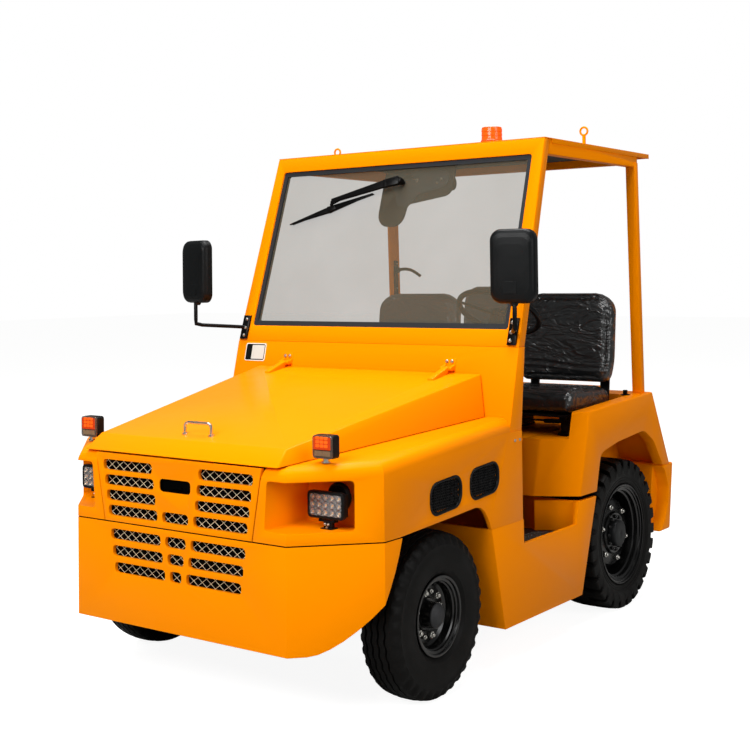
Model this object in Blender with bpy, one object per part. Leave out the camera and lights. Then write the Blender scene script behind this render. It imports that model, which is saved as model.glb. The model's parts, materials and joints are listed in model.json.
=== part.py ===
# Airport baggage tug: a two-axle tow tractor with open sides, windscreen and roof.
# Metres, +Z up. The nose points to -Y, the vehicle's left side is +X.
# A station is a distance behind the bumper's front face.
import math

import bmesh
import bpy
from mathutils import Matrix, Vector

for leftover in list(bpy.data.objects):
    bpy.data.objects.remove(leftover, do_unlink=True)

# Clearances
SEAT = 0.0003            # between pieces that touch

# Overall sizes
TAIL_S = 2.740           # rear edge of the rear bumper's top
HITCH_REACH = 0.220      # tow hitch behind it
LENGTH = TAIL_S + HITCH_REACH
HALF_WIDTH = 0.7695      # body side
BEND_X = HALF_WIDTH - 0.2395     # where the flat front meets the chamfer
CORNER_S = 0.246         # where the chamfer meets the side
PLATE = 0.016            # body and bumper plate
ARCH_LIP = 0.050         # depth of the rear arch's turned-in edge

# Wheels and axles
FRONT_AXLE_S = 0.600
TRACK_INSET = 0.0835     # front wheels' middle in from the body side
REAR_INSET = 0.1095
REAR_AXLE_S = TAIL_S - 0.575
FRONT_TYRE_R = 0.308
FRONT_TYRE_W = 0.172
FRONT_WHEEL_X = HALF_WIDTH - TRACK_INSET
REAR_TYRE_R = 0.347
REAR_TYRE_W = 0.216
REAR_WHEEL_X = HALF_WIDTH - REAR_INSET
WHEEL_STEPS = 28         # facets round a wheel, one for each lug
LUG_DEPTH = 0.020
LUG_SHARE = 0.62         # of the pitch that a lug fills
FRONT_Z = FRONT_TYRE_R
REAR_Z = REAR_TYRE_R
KINGPIN_X = FRONT_WHEEL_X - 0.1215
TIE_ARM = 0.130          # steering arm, kingpin to ball joint, straight back

# Front body
BUMPER_LOW = 0.262
SEAM_Z = 0.6404          # bumper top and grille bottom
SEAM_GAP = 0.002
LIP_Z = 0.904            # bonnet's front lower edge
SHOULDER_RISE = 0.0712   # shoulders climb this much per metre
SHOULDER_R = 0.050       # rounding along the shoulders
BODY_REAR_S = 1.211
BONNET_GAP = 0.006
COWL_FOOT_Z = 0.930
COWL_TOP_Z = 1.2663
COWL_TOP_S = 1.1996
COWL_LEAN = 0.25         # cowl face leans back this much per metre of height
COWL_TOP_DEPTH = 0.050
SILL_Z = 0.565           # top of the side steps

# Cab
GLASS_LEAN = 0.3226      # windscreen leans back this much per metre of height
FRAME_DEPTH = 0.060
FRAME_STEP = 0.006
ROOF_Z = 2.1555
ROOF_SHEET = 0.0035
ROOF_REAR_S = TAIL_S - 0.1784
ROOF_LIP = 0.022
ROOF_INSET = 0.0228      # roof's side edge in from the body side
ROOF_HALF = HALF_WIDTH - ROOF_INSET
EYE_X, EYE_S = ROOF_HALF - 0.0317, 1.920
EYE_R, EYE_WIRE, EYE_RISE = 0.0185, 0.005, 0.063
FLOOR_Z = 0.433
FLOOR_T = 0.008
SEAT_DECK_Z = 0.828
REAR_DECK_Z = 0.983
REAR_BUMPER_Z = 0.612
REAR_BUMPER_LOW = 0.288
SEAT_FRONT_S = 1.655
FENDER_IN_X = HALF_WIDTH - 0.2695
SEAT_LOW_X = HALF_WIDTH - 0.2095
FENDER_LEAD = 0.100      # the slanted front corner's inner end stands this far ahead
FENDER_R = 0.009
FENDER_WALL_X = HALF_WIDTH - 0.0695     # inner face of the wall beside the seats
DECK_STEP_S = TAIL_S - 0.365      # where the deck steps up behind the seats
DECK_REAR_S = TAIL_S - 0.233
FENDER_WALL = 0.012
FENDER_LOW = SILL_Z + 0.020
FENDER_FRONT = ((REAR_AXLE_S - 0.444, FENDER_LOW), (REAR_AXLE_S - 0.340, 0.948))
FENDER_REAR = ((DECK_REAR_S, REAR_DECK_Z), (TAIL_S - 0.040, REAR_BUMPER_Z + SEAT))


def Y(station):
    return station - LENGTH / 2


def shoulder_z(station):
    return LIP_Z + SHOULDER_RISE * station


def cowl_s(height):
    return COWL_TOP_S - COWL_LEAN * (COWL_TOP_Z - height)


def screen_s(height):
    return COWL_TOP_S + GLASS_LEAN * (height - COWL_TOP_Z)


# Materials: name, colour, roughness, metallic
FINISHES = {
    "paint_amber": ((1.0, 0.36, 0.0), 0.28, 0.0),
    "paint_black": ((0.02, 0.02, 0.02), 0.45, 0.0),
    "cast_grey": ((0.10, 0.10, 0.11), 0.6, 0.4),
    "rubber": ((0.018, 0.018, 0.019), 0.75, 0.0),
    "vinyl": ((0.015, 0.015, 0.017), 0.35, 0.0),
    "plastic_black": ((0.02, 0.02, 0.022), 0.5, 0.0),
    "steel_zinc": ((0.55, 0.55, 0.53), 0.35, 0.9),
    "glass": ((0.75, 0.78, 0.76), 0.05, 0.0),
    "lens_amber": ((1.0, 0.30, 0.02), 0.15, 0.0),
    "motor_grey": ((0.35, 0.37, 0.38), 0.45, 0.2),
}


def finish(name):
    material = bpy.data.materials.get(name)
    if material is None:
        colour, roughness, metallic = FINISHES[name]
        material = bpy.data.materials.new(name)
        material.use_nodes = True
        shader = material.node_tree.nodes["Principled BSDF"]
        shader.inputs["Base Color"].default_value = (*colour, 1.0)
        shader.inputs["Roughness"].default_value = roughness
        shader.inputs["Metallic"].default_value = metallic
    return material


# Building tools

def place(name, shape, material, origin=(0, 0, 0)):
    """Turn a bmesh into a named object, its origin on its joint or at the world origin."""
    bmesh.ops.recalc_face_normals(shape, faces=shape.faces)
    bmesh.ops.translate(shape, verts=shape.verts, vec=-Vector(origin))
    mesh = bpy.data.meshes.new(name)
    shape.to_mesh(mesh)
    shape.free()
    mesh.shade_smooth()
    mesh.set_sharp_from_angle(angle=math.radians(30))
    body = bpy.data.objects.new(name, mesh)
    body.location = origin
    bpy.context.scene.collection.objects.link(body)
    if material:
        mesh.materials.append(finish(material))
    return body


def guide(shape, name):
    tool = place(name, shape, None)
    tool.hide_render = True
    tool.display_type = "WIRE"
    return tool


def combine(body, shape, operation):
    """Cut a shape from a body, or weld it on."""
    tool = guide(shape, f"guide_{body.name}_{len(body.modifiers)}")
    tool.location = (0, 0, 0)
    step = body.modifiers.new(operation.lower(), "BOOLEAN")
    step.operation = operation
    step.solver = "EXACT"
    step.object = tool


def cut(body, shape):
    combine(body, shape, "DIFFERENCE")


def weld(body, shape):
    combine(body, shape, "UNION")


def prism(outline, axis, low, high):
    """Extrude a flat outline: axis X takes (y, z), Y takes (x, z), Z takes (x, y)."""
    put = {"X": lambda a, b, c: (c, a, b),
           "Y": lambda a, b, c: (a, c, b),
           "Z": lambda a, b, c: (a, b, c)}[axis]
    shape = bmesh.new()
    rings = [[shape.verts.new(put(a, b, level)) for a, b in outline] for level in (low, high)]
    count = len(outline)
    shape.faces.new(rings[0])
    shape.faces.new(list(reversed(rings[1])))
    for i in range(count):
        j = (i + 1) % count
        shape.faces.new((rings[0][j], rings[0][i], rings[1][i], rings[1][j]))
    bmesh.ops.recalc_face_normals(shape, faces=shape.faces)
    return shape


def side_prism(outline, x_low, x_high):
    """Extrude an outline of (station, height) across the vehicle."""
    return prism([(Y(s), z) for s, z in outline], "X", x_low, x_high)


def plan_prism(outline, z_low, z_high):
    """Extrude an outline of (x, station) upwards."""
    return prism([(x, Y(s)) for x, s in outline], "Z", z_low, z_high)


def front_prism(outline, s_low, s_high):
    """Extrude an outline of (x, height) rearwards."""
    return prism(outline, "Y", Y(s_low), Y(s_high))


def block(x, s, z):
    """A box from ranges of x, station and height."""
    return plan_prism([(x[0], s[0]), (x[1], s[0]), (x[1], s[1]), (x[0], s[1])], *z)


def mirror_x(shape, side):
    if side < 0:
        bmesh.ops.scale(shape, vec=(-1, 1, 1), verts=shape.verts)
        bmesh.ops.recalc_face_normals(shape, faces=shape.faces)
    return shape


def hull(points):
    """Convex hull of (x, station, height) points."""
    shape = bmesh.new()
    for x, s, z in points:
        shape.verts.new((x, Y(s), z))
    bmesh.ops.convex_hull(shape, input=shape.verts)
    bmesh.ops.dissolve_limit(shape, angle_limit=math.radians(1), verts=shape.verts, edges=shape.edges)
    return shape


def add(target, *others):
    """Copy other shapes into the first."""
    for other in others:
        mesh = bpy.data.meshes.new("part")
        other.to_mesh(mesh)
        other.free()
        target.from_mesh(mesh)
        bpy.data.meshes.remove(mesh)
    return target


def moved(shape, matrix):
    bmesh.ops.transform(shape, matrix=matrix, verts=shape.verts)
    return shape


def fillet(points, radius, steps=4):
    """Round every corner of a closed outline; radius is one number or one for each corner."""
    rounded = []
    count = len(points)
    radii = radius if isinstance(radius, (list, tuple)) else [radius] * count
    for i, (x, y) in enumerate(points):
        here = Vector((x, y))
        before = Vector(points[i - 1]) - here
        after = Vector(points[(i + 1) % count]) - here
        if radii[i] <= 0:
            rounded.append((x, y))
            continue
        half = before.angle(after) / 2
        reach = min(radii[i] / math.tan(half), before.length * 0.49, after.length * 0.49)
        size = reach * math.tan(half)
        centre = here + (before.normalized() + after.normalized()).normalized() * (size / math.sin(half))
        start = here + before.normalized() * reach - centre
        arc = start.angle_signed(here + after.normalized() * reach - centre)
        for k in range(steps + 1):
            rounded.append(tuple(centre + Matrix.Rotation(-arc * k / steps, 2) @ start))
    return rounded


def rounded_box(centre_x, centre_z, width, height, radius, steps=3):
    w, h = width / 2, height / 2
    corners = [(-w, -h), (w, -h), (w, h), (-w, h)]
    return fillet([(centre_x + x, centre_z + z) for x, z in corners], radius, steps)


def bezier(p0, p1, p2, p3, steps):
    curve = []
    for k in range(steps + 1):
        t = k / steps
        a, b, c, d = (1 - t) ** 3, 3 * t * (1 - t) ** 2, 3 * t * t * (1 - t), t ** 3
        curve.append(tuple(a * p + b * q + c * r + d * v for p, q, r, v in zip(p0, p1, p2, p3)))
    return curve


def strip(points, thickness):
    """Closed outline of a bent sheet: the line and its copy moved to the right of its direction."""
    def normal(a, b):
        along = (Vector(b) - Vector(a)).normalized()
        return Vector((along.y, -along.x))
    back = []
    for i, point in enumerate(points):
        sides = [normal(points[k], points[k + 1]) for k in (i - 1, i) if 0 <= k < len(points) - 1]
        mean = sum(sides, Vector((0, 0))).normalized()
        back.append(tuple(Vector(point) + mean * (thickness / mean.dot(sides[0]))))
    return list(points) + back[::-1]


def rod(start, end, radius, sides=16, end_radius=None):
    """A round bar between two (x, station, height) points."""
    a, b = (Vector((p[0], Y(p[1]), p[2])) for p in (start, end))
    shape = bmesh.new()
    bmesh.ops.create_cone(shape, cap_ends=True, segments=sides, radius1=radius,
                          radius2=radius if end_radius is None else end_radius, depth=(b - a).length)
    turn = Vector((0, 0, 1)).rotation_difference(b - a).to_matrix().to_4x4()
    return moved(shape, Matrix.Translation((a + b) / 2) @ turn)


def ring_x(profile, centre, steps):
    """Turn a closed profile of (u, r) about an axle along X through centre (x, station, height)."""
    shape = bmesh.new()
    x, y, z = centre[0], Y(centre[1]), centre[2]
    rows = []
    for k in range(steps):
        angle = math.tau * k / steps
        rows.append([shape.verts.new((x + u, y + r * math.cos(angle), z + r * math.sin(angle)))
                     for u, r in profile])
    count = len(profile)
    for k in range(steps):
        here, then = rows[k], rows[(k + 1) % steps]
        for i in range(count):
            j = (i + 1) % count
            shape.faces.new((here[i], here[j], then[j], then[i]))
    bmesh.ops.recalc_face_normals(shape, faces=shape.faces)
    return shape


def sweep(points, radius, sides=8):
    """A round tube along (x, station, height) points with closed ends."""
    path = [Vector((x, Y(s), z)) for x, s, z in points]
    shape = bmesh.new()
    rows = []
    across = None
    for i, point in enumerate(path):
        ahead = path[min(i + 1, len(path) - 1)]
        behind = path[max(i - 1, 0)]
        along = (ahead - behind).normalized()
        if across is None:
            seed = Vector((0, 0, 1)) if abs(along.z) < 0.9 else Vector((1, 0, 0))
            across = along.cross(seed).normalized()
        across = (across - along * across.dot(along)).normalized()
        other = along.cross(across)
        inward = (point - behind).normalized() if 0 < i < len(path) - 1 else along
        stretch = 1 / max(0.7, along.dot(inward))
        rows.append([shape.verts.new(point + (across * math.cos(math.tau * k / sides)
                                              + other * math.sin(math.tau * k / sides)) * radius * stretch)
                     for k in range(sides)])
    shape.faces.new(rows[0])
    shape.faces.new(list(reversed(rows[-1])))
    for here, then in zip(rows, rows[1:]):
        for k in range(sides):
            j = (k + 1) % sides
            shape.faces.new((here[j], here[k], then[k], then[j]))
    bmesh.ops.recalc_face_normals(shape, faces=shape.faces)
    return shape


def ring(points, radius, sides=8):
    """A closed round ring along (x, station, height) points that lie in one plane."""
    path = [Vector((x, Y(s), z)) for x, s, z in points]
    centre = sum(path, Vector((0, 0, 0))) / len(path)
    normal = (path[0] - centre).cross(path[1] - centre).normalized()
    shape = bmesh.new()
    rows = []
    for point in path:
        out = (point - centre).normalized()
        rows.append([shape.verts.new(point + (out * math.cos(math.tau * k / sides)
                                              + normal * math.sin(math.tau * k / sides)) * radius)
                     for k in range(sides)])
    for i, here in enumerate(rows):
        then = rows[(i + 1) % len(rows)]
        for k in range(sides):
            j = (k + 1) % sides
            shape.faces.new((here[k], here[j], then[j], then[k]))
    bmesh.ops.recalc_face_normals(shape, faces=shape.faces)
    return shape


def soften(body, width, segments=2, angle=40):
    bevel = body.modifiers.new("soften", "BEVEL")
    bevel.width = width
    bevel.segments = segments
    bevel.limit_method = "ANGLE"
    bevel.angle_limit = math.radians(angle)
    return body


def bevel_edges(shape, chosen, radius, segments):
    edges = [e for e in shape.edges if chosen(e)]
    bmesh.ops.bevel(shape, geom=edges, offset=radius, offset_type="OFFSET", segments=segments,
                    profile=0.5, affect="EDGES", clamp_overlap=True)
    return shape


# Front end

# slot rows of the grille and bumper: height of the row's centre, inner end, outer end, half of centre slot
GRILLE_ROWS = (
    (0.8545, 0.120, 0.385, 0.0),
    (0.7972, 0.111, 0.376, 0.0),
    (0.7399, 0.102, 0.367, 0.0),
    (0.6826, 0.092, 0.357, 0.067),
)
BUMPER_ROWS = (
    (0.5930, 0.077, 0.343, 0.052),
    (0.5305, 0.066, 0.333, 0.041),
    (0.4680, 0.054, 0.322, 0.029),
)
SLOT_H = 0.040
SLOT_R = 0.013
SCREEN_LAP = 0.014       # the screen behind the slots laps past them by this much
LATCH_SLOT = (0.0, 0.800, 0.160, 0.048)      # centre x and z, width, height
GRILLE_TOP_X = 0.423
GRILLE_LOW_X = 0.376


def cut_slots(body, rows):
    slots = bmesh.new()
    for height, inner, outer, centre in rows:
        for side in (-1, 1):
            middle = side * (inner + outer) / 2
            outline = rounded_box(middle, height, outer - inner, SLOT_H, SLOT_R, 2)
            add(slots, front_prism(outline, -0.05, 0.03))
        if centre:
            add(slots, front_prism(rounded_box(0, height, 2 * centre, SLOT_H, SLOT_R, 2), -0.05, 0.03))
    cut(body, slots)


def front_bumper():
    tail_s = 0.355
    line = [(-HALF_WIDTH, tail_s), (-HALF_WIDTH, CORNER_S), (-BEND_X, 0),
            (BEND_X, 0), (HALF_WIDTH, CORNER_S), (HALF_WIDTH, tail_s)]
    outline = strip([(x, -s) for x, s in line], PLATE)
    shape = plan_prism([(x, -s) for x, s in outline], BUMPER_LOW, SEAM_Z - SEAM_GAP)
    body = place("front_bumper", shape, "paint_amber")
    # the ends sweep up to clear the steered tyres
    sweep_up = bezier((0.05, BUMPER_LOW), (0.13, BUMPER_LOW), (0.30, 0.45), (tail_s, SEAM_Z - SEAM_GAP), 10)
    below = sweep_up + [(tail_s + 0.2, SEAM_Z - SEAM_GAP), (tail_s + 0.2, 0.1), (0.05, 0.1)]
    cut(body, side_prism(below, -1, 1))
    cut_slots(body, BUMPER_ROWS)
    return soften(body, 0.003, 1, 50)


def grille_panel():
    top, low = LIP_Z - 0.006, SEAM_Z
    outline = [(-GRILLE_LOW_X, low), (GRILLE_LOW_X, low), (GRILLE_TOP_X, top), (-GRILLE_TOP_X, top)]
    body = place("grille_panel", front_prism(outline, 0, PLATE), "paint_amber")
    cut_slots(body, GRILLE_ROWS)
    cut(body, front_prism(rounded_box(*LATCH_SLOT, 0.015, 3), -0.05, 0.03))
    return body


def grille_screen():
    """Dark sheet behind the slots, resting on the back of grille and bumper."""
    front = PLATE + SEAT
    half = max(row[2] for row in GRILLE_ROWS) + SCREEN_LAP
    low = BUMPER_ROWS[-1][0] - SLOT_H / 2 - SCREEN_LAP
    high = GRILLE_ROWS[0][0] + SLOT_H / 2 + SCREEN_LAP * 0.5
    return place("grille_screen", block((-half, half), (front, front + 0.004), (low, high)), "paint_black")


# side vents in the front body: centre station, centre height
VENTS = ((0.640, 0.746), (0.915, 0.764))
VENT_L, VENT_H = 0.220, 0.126
VENT_RISE, VENT_R, VENT_DEEP = 0.008, 0.050, 0.010     # slope of its long edges, corners, depth of the recess
POCKET_Z = (0.683, 0.858)
# lamp pocket: inner edge above and below, outer edge
POCKET_IN_X, POCKET_LOW_X, POCKET_OUT_X = BEND_X - 0.084, BEND_X - 0.098, BEND_X + 0.167
POCKET_REAR_S = 0.235
POCKET_R = 0.012


def shoulder_solid(outline, low, drop, radius, side):
    """A block with the body's plan outline, its top on the shoulders' slope, rounded along the outside."""
    shape = plan_prism(outline, low, low + 0.1)
    for vert in shape.verts:
        if vert.co.z > low + 0.05:
            vert.co.z = shoulder_z(vert.co.y + LENGTH / 2) - drop
    limit = max(s for _, s in outline)
    inner = min(x for x, _ in outline)

    def outside(edge):
        a, b = (v.co for v in edge.verts)
        if min(a.z, b.z) < low + 0.05:
            return False
        rear = Y(limit) - 0.001
        if a.y > rear and b.y > rear:
            return False
        return not (a.x < inner + 0.001 and b.x < inner + 0.001)
    bevel_edges(shape, outside, radius, 5)
    return mirror_x(shape, side)


# bonnet corners: half-widths and heights at the nose and at the cowl
NOSE_LOW_X = GRILLE_TOP_X + 0.0683
NOSE_TOP_X = GRILLE_TOP_X + 0.0529
NOSE_S, NOSE_Z = 0.073, LIP_Z + 0.058
REAR_LOW_X = HALF_WIDTH - 0.1205
REAR_TOP_X = HALF_WIDTH - 0.1635
BONNET_LOW_Z = COWL_FOOT_Z + 0.054
BONNET_TOP_Z = COWL_TOP_Z - 0.1113
BONNET_SHEET = 0.008


def bonnet_envelope(grow):
    """The bonnet's outer form, grown all round by a gap."""
    points = []
    rear_low = cowl_s(BONNET_LOW_Z) - BONNET_GAP + grow
    rear_top = cowl_s(BONNET_TOP_Z) - BONNET_GAP + grow
    for side in (-1, 1):
        points += [(side * (NOSE_LOW_X + grow), 0.002 - grow, LIP_Z - grow),
                   (side * (NOSE_TOP_X + grow), NOSE_S - grow, NOSE_Z + grow),
                   (side * (REAR_LOW_X + grow), rear_low, BONNET_LOW_Z - grow),
                   (side * (REAR_TOP_X + grow), rear_top, BONNET_TOP_Z + grow)]
    return hull(points)


# edge of the front wheel arch: control points along its top and down its rear end, by station and height
ARCH_LINE = ((0.338, SEAM_Z), (0.50, 0.648), (0.70, 0.660), (0.843, 0.669))
ARCH_TAIL = (ARCH_LINE[-1], (0.92, 0.672), (0.945, 0.60), (0.964, SILL_Z))


def front_fender(side):
    name = "front_fender_left" if side > 0 else "front_fender_right"
    inner_x = GRILLE_LOW_X + SEAM_GAP
    rear = BODY_REAR_S
    outline = [(inner_x, 0), (BEND_X, 0), (HALF_WIDTH, CORNER_S), (HALF_WIDTH, rear), (inner_x, rear)]
    body = place(name, shoulder_solid(outline, SILL_Z + SEAT, 0, SHOULDER_R, side), "paint_amber")
    box_in, box_out = POCKET_LOW_X - 0.012, POCKET_OUT_X + 0.016
    lamp_box = [(box_in, 0.008), (BEND_X, 0.008), (box_out, 0.196), (box_out, POCKET_REAR_S + 0.010),
                (box_in, POCKET_REAR_S + 0.010)]
    wall = PLATE
    inside = [(0.30, wall), (BEND_X - wall * 0.42, wall), (HALF_WIDTH - wall, CORNER_S + wall * 0.42),
              (HALF_WIDTH - wall, rear + 0.1), (0.30, rear + 0.1)]
    cut(body, shoulder_solid(inside, 0.5, wall, SHOULDER_R - wall, side))
    weld(body, mirror_x(plan_prism(lamp_box, POCKET_Z[0] - 0.010, POCKET_Z[1] + 0.010), side))
    opening = fillet([(POCKET_LOW_X, POCKET_Z[0]), (POCKET_OUT_X, POCKET_Z[0]), (POCKET_OUT_X, POCKET_Z[1]),
                      (POCKET_IN_X, POCKET_Z[1])], POCKET_R, 2)
    cut(body, mirror_x(front_prism(opening, -0.02, POCKET_REAR_S), side))
    # grille seam, bonnet, cowl and wheel arch are trimmed away
    lean = (GRILLE_TOP_X - GRILLE_LOW_X) / (LIP_Z - 0.006 - SEAM_Z)
    past = 0.2
    low_z, top_z = SEAM_Z - past, LIP_Z - 0.006 + past
    seam = [(GRILLE_LOW_X + SEAM_GAP - lean * past, low_z), (GRILLE_TOP_X + SEAM_GAP + lean * past, top_z),
            (past, top_z), (past, low_z)]
    cut(body, mirror_x(front_prism(seam, -0.1, 0.1), side))
    cut(body, bonnet_envelope(BONNET_GAP + 0.0005))
    over_z, past_s = COWL_FOOT_Z + 0.17, rear + 0.19
    step = [(cowl_s(COWL_FOOT_Z) - SEAT, COWL_FOOT_Z - SEAT), (cowl_s(over_z) - SEAT, over_z),
            (past_s, over_z), (past_s, COWL_FOOT_Z - SEAT)]
    cut(body, side_prism(step, -1, 1))
    behind = HALF_WIDTH - 0.1135
    cut(body, block((-behind, behind), (cowl_s(COWL_FOOT_Z) - 0.002, past_s), (SILL_Z - 0.065, over_z + 0.1)))
    below = SILL_Z - 0.165
    arch = [(-0.1, below), (-0.1, SEAM_Z)] + bezier(*ARCH_LINE, 3) + bezier(*ARCH_TAIL, 5)[1:]
    cut(body, side_prism(arch + [(ARCH_TAIL[-1][0] + 0.026, below)], -1, 1))
    vents = bmesh.new()
    half_l, half_h, rise = VENT_L / 2, VENT_H / 2, VENT_RISE
    for s, z in VENTS:
        hole = fillet([(s - half_l, z - half_h - rise), (s + half_l, z - half_h + rise),
                       (s + half_l, z + half_h + rise), (s - half_l, z + half_h - rise)], VENT_R, 5)
        add(vents, side_prism(hole, HALF_WIDTH - VENT_DEEP, HALF_WIDTH + 0.05))
    cut(body, mirror_x(vents, side))
    return body


# bonnet hinges: pivot station and height, centre x, half-widths of the bonnet's knuckle and of the cowl's pad
HINGE_S, HINGE_Z, HINGE_X, HINGE_R = 1.152, 1.173, 0.445, 0.009
HINGE_MID, HINGE_PAD = 0.014, 0.030
# the hinge arm lies on the bonnet between these stations
HINGE_TIP_S, HINGE_BED_S = HINGE_S - 0.122, HINGE_S - 0.027


def bonnet_top_z(station):
    rise = (BONNET_TOP_Z - NOSE_Z) / (cowl_s(BONNET_TOP_Z) - BONNET_GAP - NOSE_S)
    return NOSE_Z + rise * (station - NOSE_S)


def bonnet():
    sheet = BONNET_SHEET
    body = place("bonnet", bonnet_envelope(0), "paint_amber", (0, Y(HINGE_S), HINGE_Z))
    soft = body.modifiers.new("edge", "BEVEL")
    soft.width = 0.006
    soft.segments = 2
    soft.limit_method = "ANGLE"
    soft.angle_limit = math.radians(20)
    rear_low = cowl_s(BONNET_LOW_Z) - BONNET_GAP - sheet
    rear_top = cowl_s(BONNET_TOP_Z) - BONNET_GAP - sheet
    points = []
    for half in (-1, 1):
        points += [(half * (NOSE_LOW_X - sheet), sheet + 0.004, LIP_Z - 0.02),
                   (half * (NOSE_TOP_X - sheet), NOSE_S + sheet * 0.6, NOSE_Z - sheet),
                   (half * (REAR_LOW_X - sheet * 1.1), rear_low, BONNET_LOW_Z - 0.02),
                   (half * (REAR_TOP_X - sheet * 1.2), rear_top, BONNET_TOP_Z - sheet * 1.05)]
    cut(body, hull(points))
    # hinge arms run forward from the pivots on the cowl
    for side in (-1, 1):
        x = side * HINGE_X
        tip_z = bonnet_top_z(HINGE_TIP_S)
        arm = [(HINGE_TIP_S, tip_z - 0.003), (HINGE_TIP_S, tip_z + 0.008),
               (HINGE_S - 0.005, HINGE_Z + 0.007), (HINGE_S + 0.002, HINGE_Z - 0.006),
               (HINGE_BED_S, bonnet_top_z(HINGE_BED_S) - 0.003)]
        weld(body, side_prism(arm, x - HINGE_MID, x + HINGE_MID))
        weld(body, rod((x - HINGE_MID, HINGE_S, HINGE_Z), (x + HINGE_MID, HINGE_S, HINGE_Z), HINGE_R, 14))
    return body


# lift handle: centre x and station, half-width, height, bar radius
GRIP_X, GRIP_S, GRIP_HALF, GRIP_H, GRIP_R = -0.012, 0.137, 0.068, 0.046, 0.0055


def bonnet_handle():
    """Bent bar across the bonnet near its front edge."""
    foot = bonnet_top_z(GRIP_S)
    turn = 0.016
    half = [(GRIP_HALF, foot - 0.02), (GRIP_HALF, foot + GRIP_H - turn),
            (GRIP_HALF - turn * 0.3, foot + GRIP_H - turn * 0.3), (GRIP_HALF - turn, foot + GRIP_H)]
    line = [(GRIP_X + x, GRIP_S, z) for x, z in half] + [(GRIP_X - x, GRIP_S, z) for x, z in reversed(half)]
    body = place("bonnet_handle", sweep(line, GRIP_R, 10), "steel_zinc", (0, Y(HINGE_S), HINGE_Z))
    for side in (-1, 1):
        x = GRIP_X + side * GRIP_HALF
        weld(body, rod((x, GRIP_S, foot - 0.01), (x, GRIP_S, foot + 0.006), 2 * GRIP_R, 14))
    cut(body, bonnet_envelope(SEAT))
    return body


def cowl():
    profile = [(cowl_s(COWL_FOOT_Z), COWL_FOOT_Z), (COWL_TOP_S, COWL_TOP_Z),
               (COWL_TOP_S + COWL_TOP_DEPTH, COWL_TOP_Z), (BODY_REAR_S + 0.002, COWL_FOOT_Z)]
    body = place("cowl", side_prism(profile, -HALF_WIDTH + 0.002, HALF_WIDTH - 0.002), "paint_amber")
    half = HALF_WIDTH - 0.0195
    wall_z = (FLOOR_Z + SEAT, COWL_FOOT_Z + 0.01)
    weld(body, block((-half, half), (BODY_REAR_S - 0.022, BODY_REAR_S + 0.001), wall_z))
    for side in (-1, 1):
        x = side * HINGE_X
        low, high, sheet = HINGE_Z - 0.010, HINGE_Z + 0.042, 0.004
        pad = [(cowl_s(z) - out, z)
               for z, out in ((low, -sheet), (low, sheet), (high, sheet), (high, -sheet))]
        weld(body, side_prism(pad, x - HINGE_PAD, x + HINGE_PAD))
        lug = [(HINGE_S, HINGE_Z - 0.006)] + [(cowl_s(z), z) for z in (HINGE_Z - 0.006, HINGE_Z + 0.017)]
        lug.append((HINGE_S, HINGE_Z + 0.006))
        for low, high in ((HINGE_MID + SEAT, HINGE_PAD - 0.001), (0.001 - HINGE_PAD, -HINGE_MID - SEAT)):
            weld(body, side_prism(lug, x + low, x + high))
            weld(body, rod((x + low, HINGE_S, HINGE_Z), (x + high, HINGE_S, HINGE_Z), HINGE_R, 14))
    return body


# Steps, floor and chassis

STEP_LOW = 0.155
STEP_LINE = ((0.964, SILL_Z), (1.059, STEP_LOW), (1.724, STEP_LOW), (1.876, SILL_Z))   # front top, then round
STEP_WALL = 0.012
STEP_OPEN = ((1.217, 0.60), (1.217, 0.468), (1.679, 0.468), (1.712, 0.60))
# plan line of the slanted riser behind the tread
RISER = ((HALF_WIDTH - 0.1795, 1.628), (HALF_WIDTH, 1.735))


def side_step(side):
    """Skirt with the step opening; a box behind it closes the step at the bottom, front and rear."""
    name = "side_step_left" if side > 0 else "side_step_right"
    inner_x, wall = HALF_WIDTH - 0.3695, STEP_WALL
    skin_x = HALF_WIDTH - PLATE
    body = place(name, mirror_x(side_prism(STEP_LINE, skin_x, HALF_WIDTH), side), "paint_amber")
    box = strip([*STEP_LINE[:3], (STEP_LINE[2][0], SILL_Z)], -wall)
    weld(body, mirror_x(side_prism(box, inner_x, skin_x + 0.004), side))
    cut(body, block((-1, 1), (STEP_LINE[0][0] - 0.1, STEP_LINE[-1][0] + 0.1), (SILL_Z, SILL_Z + 0.1)))
    cut(body, mirror_x(side_prism(STEP_OPEN, skin_x - 0.02, HALF_WIDTH + 0.1), side))
    # riser behind the tread
    (xa, sa), (xb, sb) = RISER
    riser = [(xa, sa), (xb - 0.006, sb - 0.004), (xb - 0.006, sb + wall), (xa - 0.004, sa + wall)]
    weld(body, mirror_x(plan_prism(riser, FLOOR_Z + 0.001, SILL_Z), side))
    return body


def cab_floor():
    """Floor plate with a perforated tread at each side."""
    front = BODY_REAR_S - 0.024
    (xa, sa), (xb, sb) = RISER
    edge = HALF_WIDTH - PLATE - SEAT
    gap = 0.001
    ahead = STEP_LINE[2][0] - STEP_WALL - gap
    turn = xa + (ahead + gap - sa) / (sb - sa) * (xb - xa)
    half = [(edge, front), (edge, ahead), (turn, ahead), (xa, sa - gap), (SEAT_LOW_X, SEAT_FRONT_S - gap)]
    outline = half + [(-x, s) for x, s in reversed(half)]
    return place("cab_floor", plan_prism(outline, FLOOR_Z - FLOOR_T, FLOOR_Z), "paint_black")


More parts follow.
